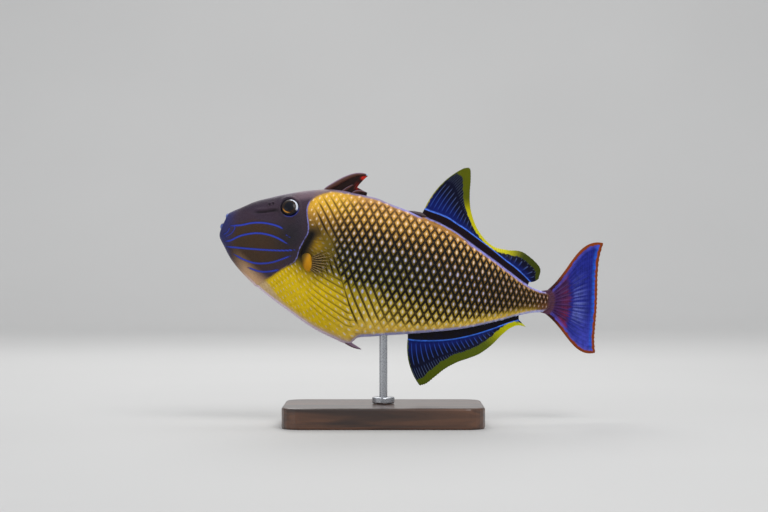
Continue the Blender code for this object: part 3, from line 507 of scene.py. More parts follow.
base = laid(tree, base, (44, 66, 186), cheek_gap, 0.34, 0.62, 0.95, 0.0)
gill_gap = kept(tree, "gill_gap")
ragged = sums(tree, "ADD", gill_gap, ramp(tree, grain(tree, "Noise", 700.0), 0.3, 0.7, -0.08, 0.12))
base = laid(tree, base, (126, 126, 202), ragged, 0.15, 0.5, 0.85, 0.0)
finished(tree, shader, base, ramp(tree, fine_scales, 0.1, 0.6, 1.0, 0.0), 0.00012)
skin.data.materials.append(skin_paint)
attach(skin, "root")
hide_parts("head", "trunk", "tail_stalk")

# Scales. On the fish they are hard lozenge plates that meet edge to edge, each with a pale spot in the
# middle and black skin between. The model's are low domed plates of painted resin, set in rows over
# the skin on both sides. In front of the belly the rows bend down with the belly's outline.
ROW_AT = (40, 50, 62, 87, 112, 156, 175, 195, 205, 213)
ROW_HEIGHT = (2.8, 3.1, 3.6, 4.4, 4.6, 4.6, 4.3, 3.6, 3.2, 2.7)
COLUMN_AT = (40, 62, 87, 112, 131, 156, 175, 195, 204, 213)
COLUMN_WIDTH = (3.0, 4.0, 5.0, 5.35, 5.2, 4.3, 3.9, 3.3, 2.9, 2.2)
MIDDLE_ROW_Z = -17.5
FIRST_SECTION, LAST_SECTION = 3, 24
TABLE_LONG, TABLE_ROUND = 420, 360

table_sections = np.linspace(FIRST_SECTION, LAST_SECTION, TABLE_LONG + 1)
table_angles = np.linspace(-math.pi / 2, math.pi / 2, TABLE_ROUND + 1)
table = body_point(*np.meshgrid(table_sections, table_angles, indexing="ij"))
paces = np.linalg.norm(np.diff(table, axis=1), axis=2)
ring_length = np.concatenate([np.zeros((TABLE_LONG + 1, 1)), np.cumsum(paces, axis=1)], axis=1)
crossing = np.array([np.interp(MIDDLE_ROW_Z, row_z, row_length)
                     for row_z, row_length in zip(table[:, :, 2], ring_length)])
climb = ring_length - crossing[:, None]


def read_table(values, section, angle):
    """A table's value between its sections and angles."""
    across = (section - FIRST_SECTION) / (LAST_SECTION - FIRST_SECTION) * TABLE_LONG
    across = np.clip(across, 0, TABLE_LONG - 0.001)
    down = np.clip((angle / math.pi + 0.5) * TABLE_ROUND, 0, TABLE_ROUND - 0.001)
    a, b = across.astype(int), down.astype(int)
    s, t = across - a, down - b
    return ((values[a, b] * (1 - s) + values[a + 1, b] * s) * (1 - t)
            + (values[a, b + 1] * (1 - s) + values[a + 1, b + 1] * s) * t)


def skin_place(x, rise):
    """Section and angle where the skin lies x along the fish and rise mm up round it from the middle row."""
    section = np.interp(x, outline[60:, 2], fine_sections[60:])
    angle = np.clip(rise / 45.0, -1.3, 1.3)
    for _ in range(14):
        at_x, at_rise = read_table(table[:, :, 0], section, angle), read_table(climb, section, angle)
        slope_x = (read_table(table[:, :, 0], section + 0.05, angle) - at_x) / 0.05
        slope_rise = (read_table(climb, section, angle + 0.01) - at_rise) / 0.01
        section = np.clip(section + (x - at_x) / np.maximum(slope_x, 0.5), 3.1, 23.9)
        angle = np.clip(angle + (rise - at_rise) / np.maximum(slope_rise, 0.5), -1.57, 1.57)
    return section, angle


def outward_at(section, angle):
    """The direction straight out of the skin, on the fish's right side."""
    along, around = skin_directions(section, angle)
    outward = np.cross(around, along)
    outward /= np.linalg.norm(outward, axis=-1, keepdims=True)
    return outward * np.sign(outward[..., 1:2])


PLATE_MIDDLE = 24
column_x = np.linspace(20, 214, 971)
column_count = np.concatenate([[0], np.cumsum(0.2 / np.interp(column_x[:-1], COLUMN_AT, COLUMN_WIDTH))])
tile = added(bpy.ops.mesh.primitive_grid_add, x_subdivisions=6, y_subdivisions=6, size=2.0)
tile_places = places_of(tile)[:, :2]
tile_faces = np.array([list(face.vertices) for face in tile.data.polygons])
bpy.data.objects.remove(tile)
spacing = np.array([-1.0, -0.84, -0.45, 0.0, 0.45, 0.84, 1.0])
plate_p, plate_q = spacing[np.rint((tile_places + 1) * 3).astype(int)].T
swept = [(column + (row % 2) / 2, row) for row in range(-18, 17) for column in range(54)]
plate_u, plate_v = np.array(swept, float).T
plate_x = np.interp(plate_u, column_count, column_x)


def row_rise(x, v):
    """How far up round the skin a row runs: straight behind, bending with the belly's outline in front."""
    rise = v * np.interp(x, ROW_AT, ROW_HEIGHT)
    follow = step(-v, -7.0, 1.0)
    bend = np.where(x < 90, belly_line(np.minimum(x, 90)) - belly_line(90.0), 0.0)
    return rise + follow * bend


def plates(side, name):
    """All plates of one flank, as one mesh. side is -1 for the left and 1 for the right."""
    bend_strip = np.interp(bend_edge(-30.0), column_x, column_count) - 1.75
    slant = (plate_u + plate_v / 2 < bend_strip)[:, None]
    middle_x, _, middle_z = body_point(*skin_place(plate_x, row_rise(plate_x, plate_v))).T
    rising, falling = flank_tones(middle_x, middle_z)[2:4]
    outer = np.maximum.reduce([
        step(5.2 - behind_gills(middle_x, middle_z), 0, 1.5), step(plate_x, 200, 205),
        step(7.4 - gap_to(GILL_SLIT, middle_x, middle_z)[0], 0, 1),
        step(2.2 - from_lobe(middle_x, middle_z), 0, 0.3),
        step(6.0 - middle_z + belly_line(middle_x), 0, 1.5),
        step(6.0 - back_line(middle_x) + middle_z, 0, 1.5)])
    sunk_p, sunk_q = (np.maximum(0.15 + 0.85 * step(family, 0.05, 0.5), outer)[:, None]
                      for family in (falling, rising))
    along_p, along_q = (1.01 - 0.05 * sunk_p) * plate_p, (1.01 - 0.05 * sunk_q) * plate_q
    dome = (1 - sunk_p * np.abs(plate_p) ** 5) * (1 - sunk_q * np.abs(plate_q) ** 5)
    u = plate_u[:, None] - along_q / 4 + (1 + slant) * along_p / 4
    v = plate_v[:, None] + along_q / 2 + (1 - slant) * along_p / 2
    x = np.interp(u, column_count, column_x)
    section, angle = skin_place(x, row_rise(x, v))
    steep = np.abs(angle[:, PLATE_MIDDLE])
    middle_x, _, middle_z = body_point(section[:, PLATE_MIDDLE], angle[:, PLATE_MIDDLE]).T
    up = (middle_z - belly_line(middle_x)) / (back_line(middle_x) - belly_line(middle_x))
    wanted = (behind_gills(middle_x, middle_z) > 0.6) & (gap_to(GILL_SLIT, middle_x, middle_z)[0] > 4.4)
    wanted &= (from_lobe(middle_x, middle_z) > 1.0) & (nape(middle_x, middle_z) < 0.5)
    wanted &= (up > 0.02) & (up < 0.985) & (middle_x < 210) & (steep < 1.45)
    x, v, section, angle, dome = (values[wanted] for values in (x, v, section, angle, dome))
    place = body_point(section, angle)
    edge = np.interp(place[:, :, 2], GILL_BORDER[::-1, 1], GILL_BORDER[::-1, 0]) + 0.7
    short = place[:, :, 0] < edge
    moved_section, moved_angle = skin_place(np.maximum(x, edge), row_rise(x, v))
    section = np.where(short, moved_section, section)
    angle = np.where(short, moved_angle, angle)
    limit = np.interp(section, (8, 12, 20, 23), (1.38, 1.40, 1.34, 1.15))
    angle = np.clip(angle, -limit - 0.02, limit)
    place = body_point(section, angle)
    ground, spot, rising, falling, size = flank_tones(place[:, :, 0].ravel(), place[:, :, 2].ravel())
    middle_x, _, middle_z = place[:, PLATE_MIDDLE].T
    rise = 0.56 - 0.2 * patch(middle_x, middle_z, *FADED) - 0.24 * plain_front(middle_x, middle_z)
    lift = -SCALE_DEPTH - 0.12 + rise[:, None] * dome
    place = (place + outward_at(section, angle) * lift[:, :, None]) * (1, side, 1)
    count, corners = len(place), len(plate_p)
    faces = (tile_faces[None] + np.arange(count)[:, None, None] * corners).reshape(-1, 4)
    faces = faces if side < 0 else faces[:, ::-1]
    mesh = bpy.data.meshes.new(name)
    mesh.from_pydata(place.reshape(-1, 3), [], faces)
    piece = bpy.data.objects.new(name, mesh)
    bpy.context.scene.collection.objects.link(piece)
    flat_rise = read_table(climb, section.ravel(), angle.ravel())
    spread = np.stack([(place[:, :, 0].ravel() - 20) / 195, (flat_rise + 52) / 116], axis=1)
    layer = mesh.uv_layers.new(name="OFBake")
    layer.data.foreach_set("uv", spread[faces.ravel()].astype(np.float32).ravel())
    moulded(piece, name, place.reshape(-1, 3))
    varied = np.repeat(np.random.default_rng(7).normal(0, 1, count), corners)
    lattice = np.stack([np.tile(plate_p, count), np.tile(plate_q, count), varied], axis=1)
    marked(piece, ground=ground, spot=spot, rising=rising, falling=falling, size=size, lattice=lattice)
    piece.data.materials.append(plate_paint)
    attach(piece, "root")


plate_paint, tree, shader = paint("plate_paint", 0.42, Specular_IOR_Level=0.15)
lattice = kept(tree, "lattice", "Vector")
apart = tree.nodes.new("ShaderNodeSeparateXYZ")
tree.links.new(lattice, apart.inputs[0])
reach_p, reach_q = (sums(tree, "ABSOLUTE", apart.outputs[spot]) for spot in (0, 1))
rough_edge = grain(tree, "Noise", 900.0, Detail=3.0)
unsure = sums(tree, "MULTIPLY", sums(tree, "SUBTRACT", rough_edge, 0.5), 0.22)
darks = []
for reach, family in ((reach_p, "falling"), (reach_q, "rising")):
    strength = kept(tree, family)
    narrow = sums(tree, "MULTIPLY", sums(tree, "SUBTRACT", 1.0, strength), 0.22)
    wavy = sums(tree, "MULTIPLY", unsure, strength)
    border = sums(tree, "SUBTRACT", sums(tree, "ADD", reach, wavy), narrow)
    darks.append(sums(tree, "MULTIPLY", ramp(tree, border, 0.58, 0.76), ramp(tree, strength, 0.0, 0.8)))
dark = sums(tree, "MAXIMUM", *darks)
squares = [sums(tree, "POWER", reach, 2.0) for reach in (reach_p, reach_q)]
radius = sums(tree, "SQRT", sums(tree, "ADD", *squares))
radius = sums(tree, "ADD", radius, sums(tree, "MULTIPLY", apart.outputs[2], 0.03))
radius = sums(tree, "DIVIDE", sums(tree, "ADD", radius, unsure), kept(tree, "size"))
pale = ramp(tree, radius, 0.20, 0.48, 0.92, 0.0)
uneven = grain(tree, "Noise", 420.0, Detail=3.0)
base = laid(tree, kept(tree, "ground", "Color"), (110, 80, 16), uneven, 0.35, 0.75, 0.0, 0.22)
base = mixed(tree, pale, base, kept(tree, "spot", "Color"))
base = mixed(tree, dark, base, rgb(8, 6, 7))
finished(tree, shader, base, grain(tree, "Voronoi", 1900.0), 0.00006)
plates(-1, "scales_left")
plates(1, "scales_right")

# Eyes. A glass ball set in the skin: a dark brown iris with a gold edge round a blue-black pupil.
# Each is turned so that the pupil looks straight out from the cheek, and has a clear wet coat.
def spot_on_skin(x, z, rise, slow_angle, slow_section):
    """Section and angle of the skin at x and z in the side view, found from a first guess at its rise."""
    section, angle = skin_place(np.array([x]), np.array([rise]))
    for _ in range(30):
        angle = angle + (z - body_point(section, angle)[:, 2]) / slow_angle
        section = section + (x - body_point(section, angle)[:, 0]) / slow_section
    return section, angle


def eye(side, name, node):
    section, angle = spot_on_skin(*EYE_AT, 0.0, 30, 12)
    here, outward = body_point(section, angle)[0], outward_at(section, angle)[0]
    ball, unit = unit_ball(64, 40)
    turn = np.array(Vector(outward * (1, side, 1)).to_track_quat("Z", "Y").to_matrix())
    centre = (here - outward * 0.5) * (1, side, 1)
    shape = unit * (5.3, 5.3, 2.3)
    piece = moulded(ball, name, centre + shape @ turn.T)
    across = (unit @ turn.T) * (1, side, 1)
    marked(piece, iris=np.hypot(unit[:, 0], unit[:, 1]), low_front=-across[:, 2] - 0.45 * across[:, 0],
           upper_rear=0.66 * across[:, 2] + 0.75 * across[:, 0])
    piece.data.materials.append(eye_paint)
    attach(piece, "root")
    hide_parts(node)


eye_paint, tree, shader = paint(
    "eye_paint", 0.5, Specular_IOR_Level=0.1, Coat_Weight=0.5, Coat_Roughness=0.02, Coat_IOR=1.36)
streak = grain(tree, "Noise", 1500.0, Detail=3.0)
iris = sums(tree, "ADD", kept(tree, "iris"), ramp(tree, streak, 0.2, 0.8, -0.03, 0.03))
base = mixed(tree, ramp(tree, streak, 0.3, 0.7), rgb(16, 10, 8), rgb(52, 30, 12))
base = laid(tree, base, (12, 10, 20), iris, 0.84, 0.92)
ring = sums(tree, "MULTIPLY", ramp(tree, iris, 0.66, 0.71), ramp(tree, iris, 0.78, 0.83, 1.0, 0.0))
gold = sums(tree, "MULTIPLY", ring, ramp(tree, kept(tree, "low_front"), 0.35, 0.65))
base = mixed(tree, gold, base, rgb(210, 140, 36))
# A pale crescent on the upper rear rim of the eye: a painted highlight.
painted_rim_highlight = ramp(tree, iris, 0.78, 0.84)
painted_rim_highlight = sums(tree, "MULTIPLY", painted_rim_highlight, ramp(tree, kept(tree, "upper_rear"), 0.4, 0.7))
base = mixed(tree, painted_rim_highlight, base, rgb(226, 231, 244))
base = laid(tree, base, (3, 4, 18), iris, 0.56, 0.60, 1.0, 0.0)
finished(tree, shader, base)
eye(-1, "eyeball_left", "eye_left")
eye(1, "eyeball_right", "eye_right")

# Lips. Two fleshy bars that meet at the corners of the small mouth, the lower one further out.
# They are painted resin like the head, and end in the fold of skin behind them.
def bar(name, line, radii, upright, height=1.0, segments=24, rings=60):
    """A tapered bar with round ends along a line of the straight fish, moulded from a ball."""
    ball, unit = unit_ball(segments, rings)
    share = np.arccos(np.clip(unit[:, 2], -1, 1)) / math.pi
    turn = np.arctan2(unit[:, 1], unit[:, 0])
    places, after, before = (
        smooth_points(range(len(line)), line, np.clip(share + shift, 0, 1) * (len(line) - 1))
        for shift in (0.0, 0.01, -0.01))
    along = after - before
    along /= np.linalg.norm(along, axis=1, keepdims=True)
    side = np.cross(along, upright)
    side /= np.linalg.norm(side, axis=1, keepdims=True)
    up = np.cross(side, along)
    radius = smooth_through(range(len(radii)), radii, share * (len(radii) - 1))
    radius = radius * np.clip(np.sin(share * math.pi), 0, 1) ** 0.3
    offset = side * np.cos(turn)[:, None] + up * np.sin(turn)[:, None] * height
    piece = moulded(ball, name, places + offset * radius[:, None])
    return piece, share, turn


def mottled(tree, scale, detail, first, second):
    """Two screen colours in soft specks."""
    return mixed(tree, grain(tree, "Noise", scale, Detail=detail), rgb(*first), rgb(*second))


lip_paint, tree, shader = paint("lip_paint", 0.4)
base = mottled(tree, 500.0, 4.0, (36, 42, 88), (58, 66, 122))
base = laid(tree, base, (72, 98, 180), kept(tree, "lip_edge"), 0.3, 1.1)
finished(tree, shader, base, grain(tree, "Noise", 1400.0, Detail=4.0), 0.0001)
for name, corner, cheek, front, outer in (
    ("upper_lip", (6.4, 4.9, 5.7), (5.2, 3.5, 7.2), (4.8, 0.0, 7.8), 1),
    ("lower_lip", (5.6, 4.9, 3.9), (3.6, 3.6, 2.1), (2.3, 0.0, 1.1), -1),
):
    line = [*((x, -y, z) for x, y, z in (corner, cheek)), front, cheek, corner]
    lip, share, turn = bar(name, line, (0.8, 1.3, 1.6, 1.3, 0.8), (0.0, 0.0, 1.0), 1.3)
    marked(lip, lip_edge=-np.cos(turn) + 0.4 * outer * np.sin(turn))
    lip.data.materials.append(lip_paint)
    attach(lip, "root")

# Soft fins. Skin stretched over jointed rays that fork towards the margin, on a thick dark base.
# Each is one closed sheet, a grid folded over its margin, cast in tinted resin and painted.
# The dorsal and anal fins are blue with a yellow margin, the tail violet-blue with a rust margin.
def closed_up(piece):
    """Welds the doubled edges, fills the open root and turns the faces outwards."""
    bpy.ops.object.select_all(action="DESELECT")
    piece.select_set(True)
    bpy.context.view_layer.objects.active = piece
    bpy.ops.object.mode_set(mode="EDIT")
    bpy.ops.mesh.select_all(action="SELECT")
    bpy.ops.mesh.remove_doubles(threshold=0.000002)
    bpy.ops.mesh.fill_holes(sides=0)
    bpy.ops.mesh.select_all(action="SELECT")
    bpy.ops.mesh.normals_make_consistent(inside=False)
    bpy.ops.object.mode_set(mode="OBJECT")


def fin_sheet(name, centre, half, **values):
    """A fin from its middle surface and half thickness, columns by rows, with marks for its finish."""
    columns, rows = half.shape
    sheet = added(
        bpy.ops.mesh.primitive_grid_add, x_subdivisions=columns - 1, y_subdivisions=2 * rows - 2, size=2.0)
    flat = places_of(sheet)
    column = np.rint((flat[:, 0] + 1) / 2 * (columns - 1)).astype(int)
    wrap = np.rint((flat[:, 1] + 1) / 2 * (2 * rows - 2)).astype(int)
    row = np.where(wrap < rows, wrap, 2 * rows - 2 - wrap)
    side = np.where(wrap < rows, -1.0, 1.0)
    normal = np.cross(np.gradient(centre, axis=0), np.gradient(centre, axis=1))
    normal /= np.maximum(np.linalg.norm(normal, axis=2, keepdims=True), 1e-9)
    half = half.copy()
    half[0], half[-1], half[:, -1] = 0.0, 0.0, 0.0
    shift = (normal * half[:, :, None])[column, row] * side[:, None]
    piece = moulded(sheet, name, centre[column, row] + shift)
    marked(piece, **{key: value[column, row] for key, value in values.items()})
    closed_up(piece)
    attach(piece, "root")
    return piece


def ray_crests(spot, out, fork):
    """1 on each ray and 0 between: one crest a ray near the base, two from the fork outwards."""
    single = (0.5 + 0.5 * np.cos(math.tau * spot)) ** 3
    double = (0.5 - 0.5 * np.cos(2 * math.tau * spot)) ** 2
    share = step(out, fork, fork + 0.16)
    return single[:, None] * (1 - share) + double[:, None] * share


def blade_rows(count):
    """Places from 0 to 1, close together at both ends."""
    share = np.linspace(0, 1, count)
    return share - 0.72 * np.sin(share * math.tau) / math.tau


def round_edge(share):
    """1 in the middle, rounding off to 0 where the share gets to 1."""
    return np.sqrt(np.clip(1 - share, 0, 1))


def blade(at, lines, bow, bow_power, grid, rays, first_ray, fork, nick, nick_power):
    """A fin laid flat, from its line inside the body, its foot on the skin and its margin.

    Gives how far along and out its places are, its share of the band in the body, its ray crests, the
    places, and their height over the foot."""
    columns, band, rows = grid
    share = np.linspace(0, 1, columns)
    inside, rise, tip = (smooth_points(at, line, share) for line in lines)
    out = np.concatenate([np.zeros(band), blade_rows(rows)])
    low = np.concatenate([np.linspace(0, 1, band + 1)[:-1], np.ones(rows)])
    crest = ray_crests(share * rays - first_ray, out, fork)
    reach = out[None] * (1 - nick * (1 - crest) * out[None] ** nick_power)
    across = np.stack([-(tip - rise)[:, 1], (tip - rise)[:, 0]], axis=1)
    across /= np.linalg.norm(across, axis=1, keepdims=True)
    flat = inside[:, None] + (rise - inside)[:, None] * low[None, :, None]
    flat = flat + (tip - rise)[:, None] * reach[:, :, None]
    swell = smooth_through(at, bow, share)[:, None] * 4 * out**bow_power * (1 - out**bow_power)
    flat = flat + across[:, None] * swell[:, :, None]
    return share, out, low, crest, flat, out * np.linalg.norm(tip - rise, axis=1)[:, None]


def fin_half(half, shoulder, out, power):
    """Half a fin's thickness, with its shoulder in the body and round at the margin and both ends."""
    ends = np.minimum(np.arange(len(half)), np.arange(len(half))[::-1]) / 5
    half = np.maximum(half, shoulder) * round_edge(out**power)
    return half * round_edge((1 - np.clip(ends, 0, 1)) ** 2)[:, None]


def stood_up(flat, sway=0.0):
    """Places laid flat, stood upright in the fish's middle and swayed to one side."""
    return np.stack([flat[:, :, 0], np.broadcast_to(sway, flat.shape[:2]), flat[:, :, 1]], axis=2)


def median_fin(rays, at, root, foot, margin, lean, bow, width_at, widths):
    """The dorsal or anal fin: middle surface, half thickness, and where its crests and margin are."""
    share, out, low, crest, flat, lift = blade(
        at, (root, foot, margin), bow, 1, (8 * (rays - 1) + 1, 16, 46), rays - 1, 0.0, 0.5, 0.012, 6)
    centre = stood_up(flat, smooth_through(at, lean, share)[:, None] * out**1.4)
    shoulder = (1.2 - 0.2 * low) * round_edge((lift / 1.4) ** 2)
    half = fin_half((0.24 - 0.04 * out) + crest * (0.34 - 0.22 * out), shoulder, out, 40)
    side_view = np.moveaxis(flat, -1, 0)
    margin_gap, margin_share = gap_to(drawn(margin, 60), *side_view)
    front_gap = gap_to(flat[0, 16:], *side_view)[0]
    coloured = np.maximum(np.interp(margin_share, width_at, widths) - margin_gap, 0.6 - front_gap)
    band = np.where(lift > 0.8, coloured, -1.0)
    return centre, half, crest, out, lift, margin_share, front_gap, band


fin_paint, tree, shader = paint("fin_paint", 0.45, Specular_IOR_Level=0.12)
wash = grain(tree, "Noise", 380.0, Detail=4.0)
base = mixed(tree, ramp(tree, wash, 0.35, 0.7, 0.0, 0.35), kept(tree, "field", "Color"), rgb(4, 7, 44))
rays_seen = sums(tree, "MULTIPLY", ramp(tree, kept(tree, "crest"), 0.55, 1.0), kept(tree, "glow"))
base = mixed(tree, rays_seen, base, kept(tree, "ray_tint", "Color"))
banded = sums(tree, "ADD", kept(tree, "band"), ramp(tree, wash, 0.3, 0.7, -0.35, 0.35))
base = mixed(tree, ramp(tree, banded, -0.3, 0.3), base, kept(tree, "band_tint", "Color"))
jointed = grain(tree, "Wave", 260.0, Distortion=1.5, Detail=2.0)
height = sums(tree, "ADD", jointed, grain(tree, "Noise", 1600.0, Detail=3.0))
finished(tree, shader, base, height, 0.00008)

at = (0, 0.07, 0.14, 0.22, 0.30, 0.37, 0.45, 0.55, 0.65, 0.75, 0.85, 0.93, 1.0)
foot = [(124.9 + 72.4 * share, z) for share, z in zip(
    at, (28.9, 27.7, 26.7, 25.0, 22.2, 19.9, 16.6, 12.4, 8.3, 4.3, 0.6, -3.0, -6.5))]
root = [(x - 2.6 + 1.2 * share, z - 7.2 + share) for (x, z), share in zip(foot, at)]
margin = ((146.0, 58.3), (149.8, 58.7), (151.2, 53.0), (151.9, 44.0), (153.0, 37.2), (154.6, 32.0),
          (158.8, 24.0), (165.6, 16.6), (173.2, 12.2), (181.5, 11.5), (192.2, 11.1), (203.0, 3.4),
          (203.0, -3.6))
lean = (0, 0.2, 0.5, 1.0, 2.0, 3.2, 4.8, 6.2, 6.4, 4.4, 1.4, -0.4, -1.0)
bow = (3.2, 2.5, 1.8, 1.1, 0.6, 0.4, 0.2, 0, 0, 0, 0, -0.3, -0.8)
centre, half, crest, out, lift, margin_share, front_gap, band = median_fin(
    30, at, root, foot, margin, lean, bow, (0, 0.10, 0.25, 0.42, 0.50, 0.67, 0.75, 0.85, 0.93, 1.0),
    (5.4, 5.6, 4.6, 3.0, 2.5, 2.4, 2.9, 4.2, 3.6, 2.4))
over_back = centre[:, :, 2] - back_line(centre[:, :, 0])
sheath = np.interp(centre[:, :, 0], (122, 128, 136, 146, 154, 160), (0.9, 1.0, 1.5, 1.4, 0.6, 0.1))
blank = np.zeros(half.shape + (3,))
dorsal = fin_sheet(
    "second_dorsal", centre, half, crest=crest, band=band, glow=0.6 * step(lift, 2.0, 5.0),
    field=washed(
        blank, ((4, 7, 36), 1.0), ((9, 30, 118), 0.85 * step(0.46 - out, 0, 0.40)),
        ((76, 124, 240), step(1.5 - lift, 0, 0.6)), ((24, 7, 9), step(0.5 - lift, 0, 0.3)),
        ((164, 164, 240), step(sheath - over_back, 0, 0.5)),
        ((200, 150, 66), step(sheath - 1.0 - over_back, 0, 0.3))),
    # The margin's olive towards its front and rear is painted shade where the fin stands upright; the bright
    # yellow between, where it leans, is its own colour.
    band_tint=washed(
        blank, ((200, 192, 4), 1.0), ((90, 96, 3), step(0.44 - margin_share, 0, 0.16)),
        ((166, 160, 20), step(0.6 - out, 0, 0.4) * step(1.2 - front_gap, 0, 0.5)),
        ((58, 66, 4), step(margin_share, 0.72, 0.84))),
    ray_tint=washed(blank, ((58, 92, 190), 1.0), ((112, 122, 128), step(out, 0.2, 0.8))))
dorsal.data.materials.append(fin_paint)
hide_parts("second_dorsal_fin")
ridge_line = (
    (111.0, 0.0, 25.7), (115.5, 0.0, 25.9), (120.0, 0.0, 25.8), (125.0, 0.0, 25.2), (129.0, 0.0, 23.6))
ridge, share, turn = bar("dorsal_ridge", ridge_line, (0.9, 1.3, 1.6, 1.7, 1.2), (0.0, 1.0, 0.0), 1.0, 20, 30)
ridge_paint, tree, shader = paint("ridge_paint", 0.45)
base = mottled(tree, 420.0, 4.0, (44, 26, 27), (74, 50, 56))
finished(tree, shader, base, grain(tree, "Voronoi", 1300.0), 0.0001)
ridge.data.materials.append(ridge_paint)
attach(ridge, "root")

at = (0, 0.06, 0.13, 0.22, 0.32, 0.43, 0.54, 0.65, 0.76, 0.87, 0.95, 1.0)
foot = [(126.0 + 68.0 * share, z) for share, z in zip(
    at, (-51.6, -51.6, -51.2, -50.4, -49.2, -47.3, -44.7, -41.7, -38.3, -34.7, -32.2, -30.6))]
root = [(x - 1.0, z + 6.4) for x, z in foot]
margin = ((137.4, -80.0), (141.2, -78.3), (146.0, -73.3), (151.4, -67.6), (158.2, -62.5), (165.0, -58.9),
          (171.2, -55.2), (177.6, -48.8), (183.0, -41.2), (188.0, -36.0), (193.0, -34.0), (197.6, -34.4))
lean = (0, -0.2, -0.4, -0.8, -1.4, -2.2, -3.2, -4.6, -6.0, -6.6, -6.0, -4.6)
bow = (-3.0, -2.5, -1.9, -1.2, -0.8, -0.4, 0, 0, 0, 0, 0, 0)
centre, half, crest, out, lift, margin_share, front_gap, band = median_fin(
    27, at, root, foot, margin, lean, bow, (0, 0.10, 0.30, 0.50, 0.62, 0.72, 0.82, 0.92, 1.0),
    (4.2, 4.8, 5.2, 5.1, 4.2, 2.8, 1.9, 1.3, 1.0))
blank = np.zeros(half.shape + (3,))
anal = fin_sheet(
    "anal", centre, half, crest=crest, band=band, glow=0.6 * step(lift, 1.6, 4.0),
    field=washed(
        blank, ((4, 8, 38), 1.0), ((9, 31, 120), 0.75 * step(0.44 - out, 0, 0.38)),
        ((64, 122, 244), step(1.4 - lift, 0, 0.5)), ((12, 7, 10), step(0.45 - lift, 0, 0.25))),
    # The margin's olive is painted shade where the fin hangs upright; the bright yellow towards the rear,
    # where it leans most, is its own colour.
    band_tint=washed(blank, ((80, 92, 4), 1.0), ((188, 188, 10), step(margin_share, 0.60, 0.80))),
    ray_tint=washed(blank, ((50, 92, 206), 1.0), ((112, 128, 140), step(out, 0.3, 0.9))))
anal.data.materials.append(fin_paint)
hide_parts("anal_fin")

at = (0, 0.12, 0.26, 0.42, 0.58, 0.74, 0.88, 1.0)
root = ((203.5, -11.6), (204.5, -12.6), (205.5, -14.4), (206.0, -16.6),
        (206.0, -18.8), (205.5, -20.8), (204.5, -22.6), (203.5, -23.8))
foot = ((210.2, -9.9), (212.2, -11.6), (213.6, -13.8), (214.4, -16.2),
        (214.4, -19.0), (213.6, -21.4), (212.6, -23.2), (211.0, -24.9))
margin = ((245.2, 24.9), (243.8, 15.5), (244.2, 4.6), (245.8, -7.0),
          (247.1, -18.0), (247.8, -28.4), (248.6, -37.4), (250.6, -45.6))
bow = (6.4, 4.2, 2.1, 0.6, -0.5, -1.7, -3.4, -5.2)
share, out, low, crest, flat, lift = blade(
    at, (root, foot, margin), bow, 2, (12 * 16 + 1, 5, 48), 12, 0.5, 0.32, 0.010, 8)
centre = stood_up(flat)
fleshy = (1.5 - 0.5 * low) * round_edge((out / 0.09) ** 2)
half = fin_half((0.26 - 0.06 * out) + crest * (0.62 - 0.5 * out), fleshy, out, 50)
side_view = np.moveaxis(flat, -1, 0)
rear_gap = gap_to(drawn(margin, 60), *side_view)[0]
edge_gap = np.minimum(*(gap_to(flat[side, 5:], *side_view)[0] for side in (0, -1)))
patchy = np.random.default_rng(3).uniform(0, 1, (3, 64))
pale_ray, red_ray, end = (np.interp(share, np.linspace(0, 1, 64), row)[:, None] for row in patchy)
inner = step(0.40 + 0.08 * end - out, 0, 0.10)
lower = step(share, 0.35, 0.6)[:, None]
central = bell(share - 0.55, 0.24)[:, None]
blank = np.zeros(half.shape + (3,))
tail = fin_sheet(
    "tail", centre, half, crest=crest,
    band=np.where(out > 0.03, np.maximum(2.3 - rear_gap, 1.8 - edge_gap), -1.0),
    glow=0.25 + 0.3 * central * step(out, 0.4, 0.6) * step(0.9 - out, 0, 0.2),
    field=washed(
        blank, ((34, 42, 144), 1.0), ((74, 80, 200), 0.8 * lower * (1 - central) * step(out, 0.5, 0.8)),
        ((150, 164, 244), 0.75 * pale_ray**2 * central * step(out, 0.44, 0.5) * step(0.85 - out, 0, 0.3)),
        ((70, 34, 82), inner),
        ((150, 34, 62), red_ray**2 * inner * step(out, 0.12, 0.3) * (0.35 + 0.6 * lower)),
        ((40, 100, 226), 0.9 * step(5.4 - rear_gap, 0, 2.5)),
        ((84, 86, 200), 0.7 * step(4.4 - edge_gap, 0, 2)), ((88, 52, 64), step(0.08 - out, 0, 0.06))),
    band_tint=washed(blank, ((138, 60, 14), 1.0), ((58, 20, 12), step(0.4 - out, 0, 0.3))),
    ray_tint=washed(blank, ((98, 72, 148), 1.0), ((20, 30, 116), step(out, 0.42, 0.55))))
tail.data.materials.append(fin_paint)
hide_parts("caudal_fin")

# Pectoral fins. A fleshy yellow lobe half sunk behind each gill cover, and a clear fan of fine rays
# that stands a little off the flank. The fan is thin clear resin with pale rays.
lobe_paint, tree, shader = paint(
    "lobe_paint", 0.5, Specular_IOR_Level=0.2, Subsurface_Weight=0.1, Subsurface_Scale=0.002)
base = mottled(tree, 300.0, 4.0, (176, 116, 2), (212, 150, 3))
base = laid(tree, base, (92, 70, 4), kept(tree, "shaded"), -0.2, 0.8)
finished(tree, shader, base, grain(tree, "Voronoi", 1400.0), 0.0001)
fan_paint, tree, shader = paint("fan_paint", 0.4, Specular_IOR_Level=0.2)
fan_crest = ramp(tree, kept(tree, "crest"), 0.35, 0.8)
far_out = kept(tree, "far_out")
finished(tree, shader, mixed(tree, fan_crest, rgb(46, 33, 9), rgb(170, 140, 88)))
film = ramp(tree, grain(tree, "Noise", 600.0, Detail=2.0), 0.3, 0.7, 0.75, 1.0)
near_root = ramp(tree, far_out, 0.12, 0.62, 0.9, 0.05)
